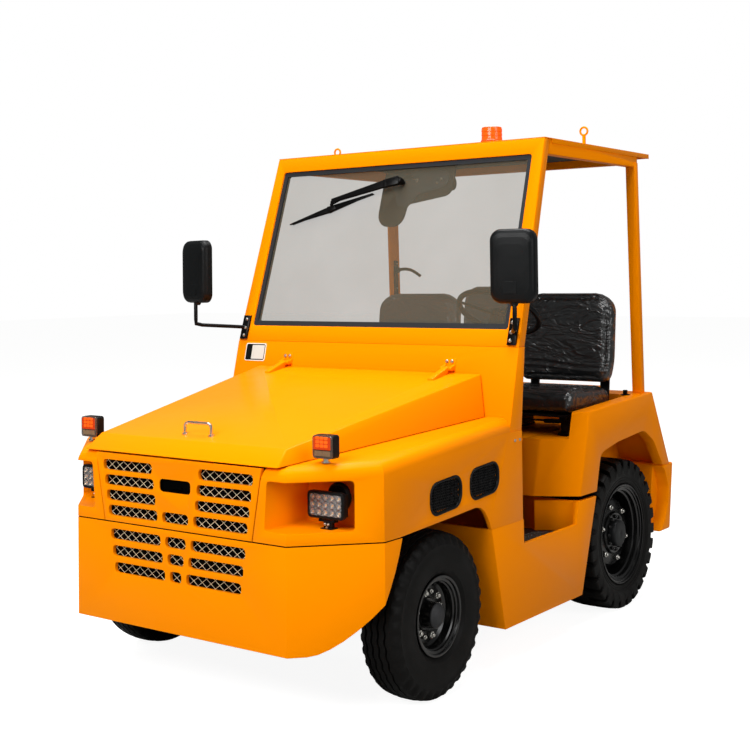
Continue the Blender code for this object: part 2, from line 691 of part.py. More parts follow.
def seat_platform():
    """Bent sheet under the seats and behind them, down to the rear bumper."""
    line = [(SEAT_FRONT_S, FLOOR_Z + SEAT), (SEAT_FRONT_S + 0.03, SEAT_DECK_Z),
            (DECK_STEP_S - 0.015, SEAT_DECK_Z), (DECK_STEP_S, REAR_DECK_Z), (DECK_REAR_S, REAR_DECK_Z),
            (TAIL_S - 0.036, REAR_BUMPER_Z - 0.007)]
    outline = strip(line, FENDER_WALL)
    body = place("seat_platform", side_prism(outline, -FENDER_IN_X + SEAT, FENDER_IN_X - SEAT), "paint_amber")
    below = (REAR_BUMPER_Z - 0.1, REAR_BUMPER_Z + SEAT)
    cut(body, block((-0.6, 0.6), (DECK_REAR_S + 0.09, TAIL_S + 0.06), below))
    return body


# rear arch: stations from the axle and heights, front end first
ARCH = ((-0.284, 0.45), (-0.284, 0.583), (-0.235, 0.752), (-0.050, 0.783), (0.235, 0.806), (0.345, 0.744),
        (0.486, 0.565), (0.512, 0.500), (0.500, 0.411), (0.460, 0.338), (0.390, 0.270))
ARCH_ROUND = (0, 0.05, 0.06, 0.10, 0.10, 0.10, 0.06, 0.06, 0.06, 0.06, 0)


def fender_top_z(station):
    (s0, z0), (s1, z1) = FENDER_FRONT[1], FENDER_REAR[0]
    return z0 + (z1 - z0) * (station - s0) / (s1 - s0)


def arch_opening(side):
    """Cutter for the rear arch, through the turned-in edge."""
    outline = [(REAR_AXLE_S + ahead, z) for ahead, z in ARCH]
    outline = fillet(outline, list(ARCH_ROUND), 3)
    return mirror_x(side_prism(outline, HALF_WIDTH - ARCH_LIP - 0.01, HALF_WIDTH + 0.1), side)


def rear_fender(side):
    """Wheel housing with a slanted front corner; inner wall against the seat platform."""
    name = "rear_fender_left" if side > 0 else "rear_fender_right"
    (s_low, z_low), (s_top, z_top) = FENDER_FRONT
    lead = FENDER_LEAD
    bend_x = RISER[0][0]

    def section(z):
        """Plan outline at a height, its rear edge following the rear slope."""
        front = s_low + (s_top - s_low) * (z - z_low) / (z_top - z_low)
        (s_a, z_a), (s_b, z_b) = FENDER_REAR
        rear = s_a + (s_b - s_a) * (z - z_a) / (z_b - z_a)
        return [(FENDER_IN_X, front - lead), (bend_x, front - lead), (HALF_WIDTH, front), (HALF_WIDTH, rear),
                (FENDER_IN_X, rear)]
    shape = bmesh.new()
    low = [shape.verts.new((x, Y(s), z_low)) for x, s in section(z_low)]
    high = [shape.verts.new((x, Y(s), fender_top_z(s))) for x, s in section(z_top)]
    for vert in high[3:]:
        vert.co.y = Y(FENDER_REAR[0][0])
        vert.co.z = FENDER_REAR[0][1]
    shape.faces.new(low)
    shape.faces.new(high[::-1])
    for i in range(5):
        j = (i + 1) % 5
        shape.faces.new((low[j], low[i], high[i], high[j]))

    def outside(edge):
        return (max(v.co.x for v in edge.verts) > FENDER_IN_X + 0.001
                and max(v.co.z for v in edge.verts) > z_low + 0.001)
    bevel_edges(shape, outside, FENDER_R, 2)
    body = place(name, mirror_x(shape, side), "paint_amber")
    wall = FENDER_WALL
    below = block((FENDER_IN_X - 0.1, HALF_WIDTH + 0.1), (DECK_REAR_S + 0.073, TAIL_S + 0.16),
                  (z_low - 0.085, FENDER_REAR[1][1]))
    cut(body, mirror_x(below, side))
    well_s, well_end, over = s_low - 0.32, DECK_STEP_S - 0.0005, REAR_DECK_Z + 0.12
    well = [(well_s, SEAT_DECK_Z - SEAT), (well_end, SEAT_DECK_Z - SEAT), (well_end, over), (well_s, over)]
    cut(body, mirror_x(side_prism(well, FENDER_IN_X - 0.1, FENDER_WALL_X), side))
    roof = SEAT_DECK_Z - wall
    ahead, behind, under = s_low + 0.029, TAIL_S - 0.062, z_low - 0.135
    cavity = [(ahead, under), (ahead, z_low + 0.075), (ahead + 0.07, roof), (DECK_REAR_S + 0.038, roof),
              (behind, REAR_BUMPER_Z + 0.008), (behind, under)]
    cut(body, mirror_x(side_prism(cavity, FENDER_IN_X + wall, HALF_WIDTH - ARCH_LIP), side))
    cut(body, arch_opening(side))
    return body


def bumper_face_s(height):
    """Front face of the rear bumper, leaning forward below."""
    return TAIL_S - 0.113 - 0.2036 * (REAR_BUMPER_Z - height)


# three-step tow hitch: undersides of its lugs, their thickness and half-width, drop pin
HITCH_LUGS = (0.330, 0.405, 0.480, 0.555)
HITCH_LUG_T, HITCH_LUG_HALF = 0.018, 0.075
HITCH_PLATE_HALF = 0.130
HITCH_PIN_S = LENGTH - 0.075
HITCH_PIN_R = 0.014


def rear_bumper():
    profile = [(bumper_face_s(REAR_BUMPER_Z), REAR_BUMPER_Z), (TAIL_S, REAR_BUMPER_Z),
               (TAIL_S - 0.050, REAR_BUMPER_LOW), (bumper_face_s(REAR_BUMPER_LOW), REAR_BUMPER_LOW)]
    body = place("rear_bumper", side_prism(profile, -HALF_WIDTH, HALF_WIDTH), "paint_amber")
    soften(body, 0.006, 1, 30)
    for side in (1, -1):
        cut(body, arch_opening(side))
    # hitch: a back plate and four lugs with a pin hole
    low, top = HITCH_LUGS[0] - 0.030, HITCH_LUGS[-1] + 0.030
    plate = [(TAIL_S - 0.100, low), (TAIL_S - 0.040, low), (TAIL_S + 0.012, top), (TAIL_S - 0.100, top)]
    weld(body, side_prism(plate, -HITCH_PLATE_HALF, HITCH_PLATE_HALF))
    root, half = TAIL_S - 0.08, HITCH_LUG_HALF
    for z in HITCH_LUGS:
        lug = [(-half, root), (half, root), (half, HITCH_PIN_S), (half * 0.6, LENGTH - 0.012), (0, LENGTH),
               (-half * 0.6, LENGTH - 0.012), (-half, HITCH_PIN_S)]
        weld(body, plan_prism(lug, z, z + HITCH_LUG_T))
    below, above = HITCH_LUGS[0] - 0.1, HITCH_LUGS[-1] + 0.1
    cut(body, rod((0, HITCH_PIN_S, below), (0, HITCH_PIN_S, above), HITCH_PIN_R + 0.0015, 24))
    return body


def hitch_pin():
    top = HITCH_LUGS[-1] + HITCH_LUG_T + SEAT
    tip = HITCH_LUGS[0] - 0.015
    shape = rod((0, HITCH_PIN_S, tip), (0, HITCH_PIN_S, top + 0.012), HITCH_PIN_R, 24)
    body = place("hitch_pin", shape, "steel_zinc")
    weld(body, rod((0, HITCH_PIN_S, top), (0, HITCH_PIN_S, top + 0.012), 0.026, 24))
    loop = [(0.030 * math.cos(a), HITCH_PIN_S, top + 0.040 + 0.034 * math.sin(a))
            for a in (math.radians(-90 + 30 * k) for k in range(13))]
    weld(body, sweep(loop, 0.005, 8))
    return body


AXLE_TOP_Z = FRONT_TYRE_R + 0.1112      # spring seats of both axles, under the rails
RAIL_X = (0.250, 0.330)
RAIL_H = 0.120
RAIL_LOWER_Z = 0.296
RAIL_BENDS = (0.78, 1.02, 1.72, 1.90)       # stations where the rails step down and up again
OUTRIGGERS = (1.22, 1.56)
OUTRIGGER_Z = (0.345, 0.405)
CRASH_HALF = 0.460       # half-width of the bumper's mounting plate


def chassis_frame():
    """Two rails that step up over both axles, cross members and the bumper's mounting plate."""
    lower, high = RAIL_LOWER_Z, AXLE_TOP_Z + SEAT
    end_s = TAIL_S - 0.19
    down_a, down_b, up_a, up_b = RAIL_BENDS
    path = [(PLATE + 0.03, high), (down_a, high), (down_b, lower), (up_a, lower), (up_b, high), (end_s, high)]
    outline = path + [(s, z + RAIL_H) for s, z in reversed(path)]
    shape = side_prism(outline, *RAIL_X)
    body = place("chassis_frame", shape, "paint_black")
    weld(body, side_prism(outline, -RAIL_X[1], -RAIL_X[0]))
    weld(body, block((-CRASH_HALF, CRASH_HALF), (PLATE + SEAT, PLATE + 0.040), (0.270, 0.400)))
    weld(body, block((-CRASH_HALF, CRASH_HALF), (PLATE + 0.006, PLATE + 0.040), (0.390, 0.560)))
    inside = (RAIL_X[0] + RAIL_X[1]) / 2 + 0.01
    for s, z in ((1.12, lower), (1.65, lower), (end_s - 0.09, high)):
        weld(body, block((-inside, inside), (s, s + 0.06), (z + 0.004, z + 0.029)))
    # outriggers carry the side steps
    for side in (-1, 1):
        for s in OUTRIGGERS:
            near, far = sorted((side * inside, side * (HALF_WIDTH - PLATE - 0.0005)))
            weld(body, block((near, far), (s, s + 0.05), OUTRIGGER_Z))
    # rear plate meets the rear bumper
    low, top = 0.42, 0.56
    half = RAIL_X[1] + 0.01
    weld(body, block((-half, half), (end_s - 0.02, end_s + 0.025), (low - 0.02, top + 0.02)))
    wedge = [(end_s + 0.01, low), (end_s + 0.01, top), (bumper_face_s(top) - SEAT, top),
             (bumper_face_s(low) - SEAT, low)]
    weld(body, side_prism(wedge, -RAIL_X[1], RAIL_X[1]))
    return body


ENGINE_S, ENGINE_HALF = (0.42, 1.04), 0.200
GEARBOX_Z = (0.330, 0.600)       # output end of the block


def engine_block():
    (near, far), half = ENGINE_S, ENGINE_HALF
    shape = block((-half, half), (near, far), (FRONT_Z + 0.090, LIP_Z - 0.064))
    body = place("engine_block", shape, "cast_grey")
    weld(body, block((-0.13, 0.13), (far - 0.04, far + 0.05), GEARBOX_Z))
    for side in (-1, 1):
        for s in (near + 0.06, far - 0.12):
            low, high = sorted((side * (half - 0.01), side * (RAIL_X[0] - SEAT)))
            weld(body, block((low, high), (s, s + 0.07), (0.455, 0.505)))
    return body


def radiator():
    body = place("radiator", block((-0.36, 0.36), (0.115, 0.185), (AXLE_TOP_Z + SEAT + RAIL_H + SEAT, 0.865)),
                 "paint_black")
    return soften(body, 0.006, 1, 30)


# Axles, steering and wheels

YOKE_R = 0.026
EAR_Z = ((FRONT_Z - 0.068, FRONT_Z - 0.044), (FRONT_Z + 0.044, FRONT_Z + 0.068))
YOKE_IN = KINGPIN_X - 0.080
ARM_Z = FRONT_Z - 0.014          # underside of the steering arms
ARM_T = 0.018
SPINDLE_R = 0.022
REAR_SPINDLE_R = 0.031
BEAM_DEEP, BEAM_HIGH = 0.038, 0.038      # half the front axle beam's depth and height
RIM_SHEET = 0.009
# bore, hub radius, hub in, hub out, disc, barrel radius, flange radius, half-width
FRONT_RIM = (SPINDLE_R + 0.0005, 0.048, 0.075, 0.060, 0.020, FRONT_TYRE_R - 0.178, FRONT_TYRE_R - 0.160,
             FRONT_TYRE_W / 2 - 0.0105)
REAR_RIM = (REAR_SPINDLE_R + 0.0005, 0.054, 0.060, 0.088, -0.010, REAR_TYRE_R - 0.142, REAR_TYRE_R - 0.118,
            REAR_TYRE_W / 2 - 0.0065)


def front_axle():
    s = FRONT_AXLE_S
    end, low, high = YOKE_IN + 0.020, FRONT_Z - BEAM_HIGH, FRONT_Z + BEAM_HIGH
    crown_z = FRONT_Z + 0.080
    crown_x, foot_x = RAIL_X[1] + 0.015, RAIL_X[1] + 0.050
    beam = [(-end, low), (end, low), (end, high), (foot_x, high), (crown_x, crown_z), (-crown_x, crown_z),
            (-foot_x, high), (-end, high)]
    body = place("front_axle", front_prism(beam, s - BEAM_DEEP, s + BEAM_DEEP), "paint_black")
    for side in (-1, 1):
        root = block((YOKE_IN, YOKE_IN + 0.024), (s - 0.030, s + 0.030), (EAR_Z[0][0], EAR_Z[1][1]))
        weld(body, mirror_x(root, side))
        for z_low, z_high in EAR_Z:
            ear = block((YOKE_IN + 0.005, KINGPIN_X), (s - YOKE_R, s + YOKE_R), (z_low, z_high))
            weld(body, mirror_x(ear, side))
            weld(body, rod((side * KINGPIN_X, s, z_low), (side * KINGPIN_X, s, z_high), YOKE_R, 20))
        weld(body, mirror_x(block(RAIL_X, (s - 0.05, s + 0.05), (crown_z - 0.01, AXLE_TOP_Z)), side))
    return body


def knuckle(side):
    name = "knuckle_left" if side > 0 else "knuckle_right"
    s, x = FRONT_AXLE_S, side * KINGPIN_X
    low, high = EAR_Z[0][1] + SEAT, EAR_Z[1][0] - SEAT
    body = place(name, rod((x, s, low), (x, s, high), 0.027, 20), "cast_grey", (x, Y(s), FRONT_Z))
    weld(body, rod((x, s, FRONT_Z), (side * (KINGPIN_X + 0.170), s, FRONT_Z), SPINDLE_R, 20))
    weld(body, rod((x, s, FRONT_Z), (side * (KINGPIN_X + 0.042), s, FRONT_Z), 0.036, 20))
    ball = (x, s + TIE_ARM)
    arm = [(x - 0.020, s), (x + 0.020, s), (ball[0] + 0.016, ball[1]), (ball[0] + 0.008, ball[1] + 0.014),
           (ball[0] - 0.008, ball[1] + 0.014), (ball[0] - 0.016, ball[1])]
    weld(body, plan_prism(arm, ARM_Z, ARM_Z + ARM_T))
    return body


def tie_rod():
    """Joins both steering arms behind the axle; its ends sit under the arms."""
    s, x = FRONT_AXLE_S + TIE_ARM, KINGPIN_X
    level = ARM_Z - 0.016
    shape = rod((-x + 0.01, s, level), (x - 0.01, s, level), 0.013, 12)
    body = place("tie_rod", shape, "cast_grey", (x, Y(s), level))
    for side in (-1, 1):
        weld(body, rod((side * x, s, level - 0.015), (side * x, s, ARM_Z - SEAT), 0.017, 16))
    return body


def wheel_rim(name, centre, side, size):
    """A disc wheel: size is bore, hub_r, hub_in, hub_out, disc_u, barrel_r, flange_r, half_w."""
    bore, hub_r, hub_in, hub_out, disc_u, barrel_r, flange_r, half_w = size
    t = RIM_SHEET
    profile = [(-hub_in, bore), (-hub_in, hub_r), (disc_u - t, hub_r), (disc_u - t, barrel_r - t),
               (-half_w + t, barrel_r - t), (-half_w, flange_r), (-half_w + 2 * t, barrel_r),
               (half_w - 2 * t, barrel_r), (half_w - t, flange_r), (half_w, flange_r),
               (half_w - t, barrel_r - t), (disc_u, barrel_r - t), (disc_u, hub_r), (hub_out, hub_r - 0.006),
               (hub_out, bore)]
    shape = ring_x([(side * u, r) for u, r in profile], centre, WHEEL_STEPS)
    return place(name, shape, "paint_black", (centre[0], Y(centre[1]), centre[2]))


# section of the front tyre from wall to tread: share of the half-width, drop below the tread
RIB_PROFILE = ((0.93, 0.135), (0.995, 0.100), (1.0, 0.075), (0.97, 0.048), (0.90, 0.024), (0.80, 0.011),
               (0.66, 0.005))


def rib_tyre(name, centre, size):
    """The smooth front tyre with round shoulders: size is radius, width, barrel_r, flange_r, half_w."""
    radius, width, barrel_r, flange_r, half_w = size
    w = width / 2
    half = [(half_w - 2 * RIM_SHEET - SEAT, barrel_r + SEAT), (half_w - RIM_SHEET - SEAT, flange_r + 0.001)]
    half += [(w * share, radius - drop) for share, drop in RIB_PROFILE]
    profile = half + [(0, radius)] + [(-u, r) for u, r in reversed(half)]
    return place(name, ring_x(profile, centre, WHEEL_STEPS), "rubber", (centre[0], Y(centre[1]), centre[2]))


def lug_tyre(name, centre, size):
    """The rear tyre; lugs on both sides, half a pitch apart, run out over the shoulders."""
    radius, width, barrel_r, flange_r, half_w = size
    w, pitch = width / 2, math.tau / WHEEL_STEPS
    shape = bmesh.new()

    def vert(u, r, angle):
        across, up = r * math.cos(angle), r * math.sin(angle)
        return shape.verts.new((centre[0] + u, Y(centre[1]) + across, centre[2] + up))

    def loop(u, r, phase):
        return [vert(u, r, (k + phase) * pitch) for k in range(WHEEL_STEPS)]

    middles, feet = [], []
    for side, phase in ((1, 0.0), (-1, 0.5)):
        floor_r, bed = radius - LUG_DEPTH, 0.06
        # rows round the tyre: lug start and end at the middle, on the shoulder and on the wall
        rows = [loop(side * w * share, radius - drop, phase + turn) for share, drop, turn in (
            (0.22, 0, 0), (0.22, 0, LUG_SHARE), (0.86, 0.004, 0), (0.86, 0.004, LUG_SHARE),
            (0.985, 0.036, 0), (0.985, 0.036, LUG_SHARE))]
        mid_a, mid_b, top_a, top_b, low_a, low_b = rows
        bed_a = loop(side * w * 0.25, floor_r, phase + LUG_SHARE + bed)
        bed_b = loop(side * w * 0.25, floor_r, phase + 1 - bed)
        out_a = loop(side * w * 0.93, floor_r - 0.004, phase + LUG_SHARE + bed)
        out_b = loop(side * w * 0.93, floor_r - 0.004, phase + 1 - bed)
        wall = loop(side * w, (radius + flange_r) / 2, 0)
        bead = loop(side * (half_w - RIM_SHEET - SEAT), flange_r + 0.001, 0)
        foot = loop(side * (half_w - 2 * RIM_SHEET - SEAT), barrel_r + SEAT, 0)
        shift = 0 if phase == 0 else 1
        for k in range(WHEEL_STEPS):
            j = (k + 1) % WHEEL_STEPS
            faces = [(mid_a[k], mid_b[k], top_b[k], top_a[k]), (top_a[k], top_b[k], low_b[k], low_a[k]),
                     (mid_b[k], mid_a[j], bed_b[k], bed_a[k]), (bed_a[k], bed_b[k], out_b[k], out_a[k]),
                     (mid_b[k], bed_a[k], out_a[k], top_b[k]), (top_b[k], out_a[k], low_b[k]),
                     (bed_b[k], mid_a[j], top_a[j], out_b[k]), (out_b[k], top_a[j], low_a[j]),
                     (out_a[k], out_b[k], low_a[j], low_b[k])]
            near, far = wall[(k + shift) % WHEEL_STEPS], wall[(j + shift) % WHEEL_STEPS]
            faces += [(low_a[k], low_b[k], near), (low_b[k], low_a[j], far, near)]
            faces += [(wall[k], wall[j], bead[j], bead[k]), (bead[k], bead[j], foot[j], foot[k])]
            for face in faces:
                shape.faces.new(face)
        middles.append([v for pair in zip(mid_a, mid_b) for v in pair])
        feet.append(foot)
    left, right = middles
    count = len(left)
    for k in range(count):
        j = (k + 1) % count
        shape.faces.new((left[k], left[j], right[j - 1], right[k - 1]))
    for k in range(WHEEL_STEPS):
        j = (k + 1) % WHEEL_STEPS
        shape.faces.new((feet[0][k], feet[0][j], feet[1][j], feet[1][k]))
    bmesh.ops.recalc_face_normals(shape, faces=shape.faces)
    return place(name, shape, "rubber", (centre[0], Y(centre[1]), centre[2]))


def wheels():
    for side, word in ((1, "left"), (-1, "right")):
        front = (side * FRONT_WHEEL_X, FRONT_AXLE_S, FRONT_Z)
        rear = (side * REAR_WHEEL_X, REAR_AXLE_S, REAR_Z)
        wheel_rim(f"front_rim_{word}", front, side, FRONT_RIM)
        rib_tyre(f"front_tyre_{word}", front, (FRONT_TYRE_R, FRONT_TYRE_W, *FRONT_RIM[5:]))
        wheel_rim(f"rear_rim_{word}", rear, side, REAR_RIM)
        lug_tyre(f"rear_tyre_{word}", rear, (REAR_TYRE_R, REAR_TYRE_W, *REAR_RIM[5:]))


def drive_axle():
    s, z = REAR_AXLE_S, REAR_Z
    tube, tip = REAR_WHEEL_X - 0.0775, REAR_WHEEL_X + 0.0825
    body = place("drive_axle", rod((-tube, s, z), (tube, s, z), 0.055, 16), "cast_grey")
    weld(body, rod((-tip, s, z), (tip, s, z), REAR_SPINDLE_R, 20))
    weld(body, rod((-0.10, s, z), (0.10, s, z), 0.115, 20))
    weld(body, rod((0, s, z), (0, s - 0.20, z), 0.075, 16, 0.045))
    weld(body, rod((0, s - 0.15, z), (0, ENGINE_S[1] + 0.052, 0.385), 0.027, 14))
    for side in (-1, 1):
        drum = side * (tube - 0.040)
        weld(body, rod((drum, s, z), (drum + side * 0.055, s, z), 0.135, 24))
        weld(body, mirror_x(block(RAIL_X, (s - 0.07, s + 0.07), (z + 0.038, AXLE_TOP_Z)), side))
    return body


# Cab

# half-width and height of the window opening's corners
SEAL_LOW = (HALF_WIDTH - 0.0666, COWL_TOP_Z + 0.0714)
SEAL_TOP = (ROOF_HALF - 0.0505, ROOF_Z - 0.0726)
SEAL_WIDE, SEAL_DEPTH = 0.022, 0.022
GLASS_T = 0.006


def leaned(shape, base_z):
    for vert in shape.verts:
        vert.co.y += GLASS_LEAN * (vert.co.z - base_z)
    return shape


def screen_outline(grow, radius):
    (x0, z0), (x1, z1) = SEAL_LOW, SEAL_TOP
    x0, z0, x1, z1 = x0 + grow, z0 - grow, x1 + grow, z1 + grow
    return fillet([(-x0, z0), (x0, z0), (x1, z1), (-x1, z1)], radius, 3)


def windscreen_frame():
    low, top = COWL_TOP_Z + SEAT, ROOF_Z - ROOF_SHEET - SEAT

    def outline(inset):
        foot, head = HALF_WIDTH - 0.002 - inset, ROOF_HALF - inset
        return [(-foot, low), (foot, low), (head, top), (-head, top)]
    # the front half stands proud of the rear half at the sides
    front, rear = outline(0), outline(FRAME_STEP)
    shape = leaned(front_prism(front, COWL_TOP_S, COWL_TOP_S + FRAME_DEPTH / 2), COWL_TOP_Z)
    body = place("windscreen_frame", shape, "paint_amber")
    weld(body, leaned(front_prism(rear, COWL_TOP_S + 0.01, COWL_TOP_S + FRAME_DEPTH), COWL_TOP_Z))
    hole = leaned(front_prism(screen_outline(0, 0.012), COWL_TOP_S - 0.1, COWL_TOP_S + 0.2), COWL_TOP_Z)
    cut(body, hole)
    return body


def windscreen():
    front = COWL_TOP_S + 0.010
    shape = leaned(front_prism(screen_outline(-SEAT, 0.012), front, front + SEAL_DEPTH), COWL_TOP_Z)
    seal = place("windscreen_seal", shape, "rubber")
    cut(seal, leaned(front_prism(screen_outline(-SEAL_WIDE, 0.008), front - 0.1, front + 0.1), COWL_TOP_Z))
    middle = front + SEAL_DEPTH / 2 - GLASS_T / 2
    pane = front_prism(screen_outline(-SEAL_WIDE - SEAT, 0.008), middle, middle + GLASS_T)
    return place("windscreen_glass", leaned(pane, COWL_TOP_Z), "glass")


POST_LOW_S, POST_TOP_S = TAIL_S - 0.308, TAIL_S - 0.343
POST_X = (ROOF_HALF - 0.0497, ROOF_HALF - 0.0017)
POST_DEPTH = 0.036
RAIL_X_IN, RAIL_X_OUT = ROOF_HALF - 0.0517, ROOF_HALF - 0.0047
RAIL_LOW_Z = ROOF_Z - 0.0705


def roof_frame():
    top = ROOF_Z - ROOF_SHEET - SEAT

    def back(z):
        return screen_s(z) + FRAME_DEPTH + SEAT
    rear = POST_TOP_S + POST_DEPTH
    rail = [(back(RAIL_LOW_Z), RAIL_LOW_Z), (back(top), top), (rear, top), (rear, RAIL_LOW_Z)]
    post = [(POST_LOW_S, fender_top_z(POST_LOW_S) + SEAT), (POST_TOP_S, RAIL_LOW_Z + 0.02),
            (POST_TOP_S + POST_DEPTH, RAIL_LOW_Z + 0.02),
            (POST_LOW_S + POST_DEPTH, fender_top_z(POST_LOW_S + POST_DEPTH) + SEAT)]
    body = place("roof_frame", side_prism(rail, RAIL_X_IN, RAIL_X_OUT), "paint_amber")
    weld(body, side_prism(rail, -RAIL_X_OUT, -RAIL_X_IN))
    middle = (RAIL_X_IN + RAIL_X_OUT) / 2
    weld(body, block((-middle, middle), (rear - 0.045, rear - 0.005), (RAIL_LOW_Z + 0.012, top)))
    for side in (-1, 1):
        weld(body, mirror_x(side_prism(post, *POST_X), side))
    return body


def roof_panel():
    """Sheet with its edges turned down and a lifting eye at each side."""
    front = screen_s(ROOF_Z)
    low = ROOF_Z - ROOF_LIP
    across = [(-ROOF_HALF, low), (-ROOF_HALF, ROOF_Z), (ROOF_HALF, ROOF_Z), (ROOF_HALF, low)]
    body = place("roof_panel", front_prism(strip(across, ROOF_SHEET), front, ROOF_REAR_S), "paint_amber")
    # the side lips start behind the windscreen frame
    edge = ROOF_HALF - ROOF_SHEET - 0.0003
    for side in (-1, 1):
        over_frame = block((edge, HALF_WIDTH + 0.03), (front - 0.1, front + FRAME_DEPTH + 0.010),
                           (low - 0.1, ROOF_Z - ROOF_SHEET - 0.0001))
        cut(body, mirror_x(over_frame, side))
    weld(body, block((-ROOF_HALF + 0.001, ROOF_HALF - 0.001), (ROOF_REAR_S - 0.005, ROOF_REAR_S - 0.001),
                     (low + 0.001, ROOF_Z - 0.001)))
    for side in (-1, 1):
        x = side * EYE_X
        weld(body, rod((x, EYE_S, ROOF_Z - 0.002), (x, EYE_S, ROOF_Z + EYE_RISE - EYE_R), 0.008, 12))
        eye = [(x + EYE_R * math.cos(a), EYE_S, ROOF_Z + EYE_RISE + EYE_R * math.sin(a))
               for a in (math.radians(30 * k - 90) for k in range(12))]
        weld(body, ring(eye, EYE_WIRE, 8))
    return body


BEACON_X, BEACON_S = 0.440, 1.560
BEACON_FOOT, BEACON_HIGH = 0.014, 0.071     # heights above the roof
BEACON_FOOT_R, BEACON_LOW_R, BEACON_TOP_R = 0.050, 0.046, 0.045


def beacon():
    x, s, foot = BEACON_X, BEACON_S, ROOF_Z + BEACON_FOOT
    body = place("beacon", rod((x, s, ROOF_Z + SEAT), (x, s, foot), BEACON_FOOT_R, 24), "lens_amber")
    weld(body, rod((x, s, foot - 0.004), (x, s, ROOF_Z + BEACON_HIGH), BEACON_LOW_R, 24, BEACON_TOP_R))
    return soften(body, 0.0015, 1, 40)


SHELF_S, SHELF_HALF = 1.340, HALF_WIDTH - 0.0695       # rear edge and half-width of the instrument shelf


def dashboard():
    """Instrument shelf behind the cowl."""
    foot_s = BODY_REAR_S + 0.002
    lean = (COWL_TOP_DEPTH + COWL_TOP_S - foot_s) / (COWL_TOP_Z - COWL_FOOT_Z)
    low, top = COWL_FOOT_Z + 0.130, COWL_TOP_Z - 0.0213
    shelf = [(foot_s + lean * (z - COWL_FOOT_Z) + SEAT, z) for z in (low, top)]
    shelf += [(SHELF_S, top - 0.020), (SHELF_S, low + 0.040)]
    return place("dashboard", side_prism(shelf, -SHELF_HALF, SHELF_HALF), "plastic_black")


STEER_X, STEER_S, STEER_Z = 0.430, 1.616, 1.395
STEER_TILT = math.radians(32)      # the wheel's plane leans back to the driver
STEER_R, STEER_WIRE = 0.185, 0.013


def along_column(distance):
    """A point down the steering column from the wheel's centre."""
    return (STEER_X, STEER_S - distance * math.sin(STEER_TILT), STEER_Z - distance * math.cos(STEER_TILT))


def steering_column():
    """Column tube from a flange on the bulkhead up to just under the wheel's hub."""
    top, cover = 0.0325, 0.30
    foot_s = BODY_REAR_S + 0.001 + SEAT
    length = (STEER_S - foot_s) / math.sin(STEER_TILT)
    shape = rod(along_column(top), along_column(cover), 0.034, 16, 0.042)
    body = place("steering_column", shape, "plastic_black")
    weld(body, rod(along_column(cover - 0.02), along_column(length + 0.05), 0.024, 16))
    foot_z = along_column(length)[2]
    flange_z = (foot_z - 0.06, foot_z + 0.10)
    weld(body, block((STEER_X - 0.06, STEER_X + 0.06), (foot_s - 0.0005, foot_s + 0.012), flange_z))
    cut(body, block((STEER_X - 0.1, STEER_X + 0.1), (foot_s - 0.2, foot_s), (foot_z - 0.3, foot_z + 0.2)))
    return body


def steering_wheel():
    """Rim, three spokes and hub, tilted towards the driver."""
    shape = bmesh.new()
    rim_r, around, across = STEER_WIRE, 28, 8
    rows = []
    for k in range(around):
        a = math.tau * k / around
        rows.append([shape.verts.new(((STEER_R + rim_r * math.cos(b)) * math.cos(a),
                                      (STEER_R + rim_r * math.cos(b)) * math.sin(a), rim_r * math.sin(b)))
                     for b in (math.tau * i / across for i in range(across))])
    for k in range(around):
        here, then = rows[k], rows[(k + 1) % around]
        for i in range(across):
            j = (i + 1) % across
            shape.faces.new((here[i], here[j], then[j], then[i]))
    tilt = Matrix.Translation((STEER_X, Y(STEER_S), STEER_Z)) @ Matrix.Rotation(-STEER_TILT, 4, "X")
    body = place("steering_wheel", moved(shape, tilt), "plastic_black", (STEER_X, Y(STEER_S), STEER_Z))
    for k in range(3):
        angle = math.radians(90 + 120 * k)
        spoke = bmesh.new()
        bmesh.ops.create_cube(spoke, size=1)
        bmesh.ops.scale(spoke, vec=(STEER_R - 0.015, 0.026, 0.008), verts=spoke.verts)
        bmesh.ops.translate(spoke, verts=spoke.verts, vec=((STEER_R + 0.015) / 2, 0, -0.002))
        weld(body, moved(spoke, tilt @ Matrix.Rotation(angle, 4, "Z")))
    hub = bmesh.new()
    bmesh.ops.create_cone(hub, cap_ends=True, segments=20, radius1=0.034, radius2=0.040, depth=0.040)
    bmesh.ops.translate(hub, verts=hub.verts, vec=(0, 0, -0.012))
    weld(body, moved(hub, tilt))
    return body


CUSHION_L, CUSHION_T = 0.435, 0.116
BACK_T = 0.075
BACK_LEAN = 0.12         # the back leans this much per metre of height
BACK_ROUND = 0.080
SLIDE_H = 0.097
SHELL_ARM = 0.045        # width of the shell's arms from cushion to back
# seats: word, centre x, cushion's half-width, back's half-width, shift to the rear, lift, back's extra height
SEATS = (
    ("left", 0.440, 0.240, 0.258, 0.0, 0.0, 0.020),
    ("middle", 0.0, 0.174, 0.172, 0.035, 0.045, 0.010),
    ("right", -0.440, 0.240, 0.258, 0.0, 0.0, 0.020),
)


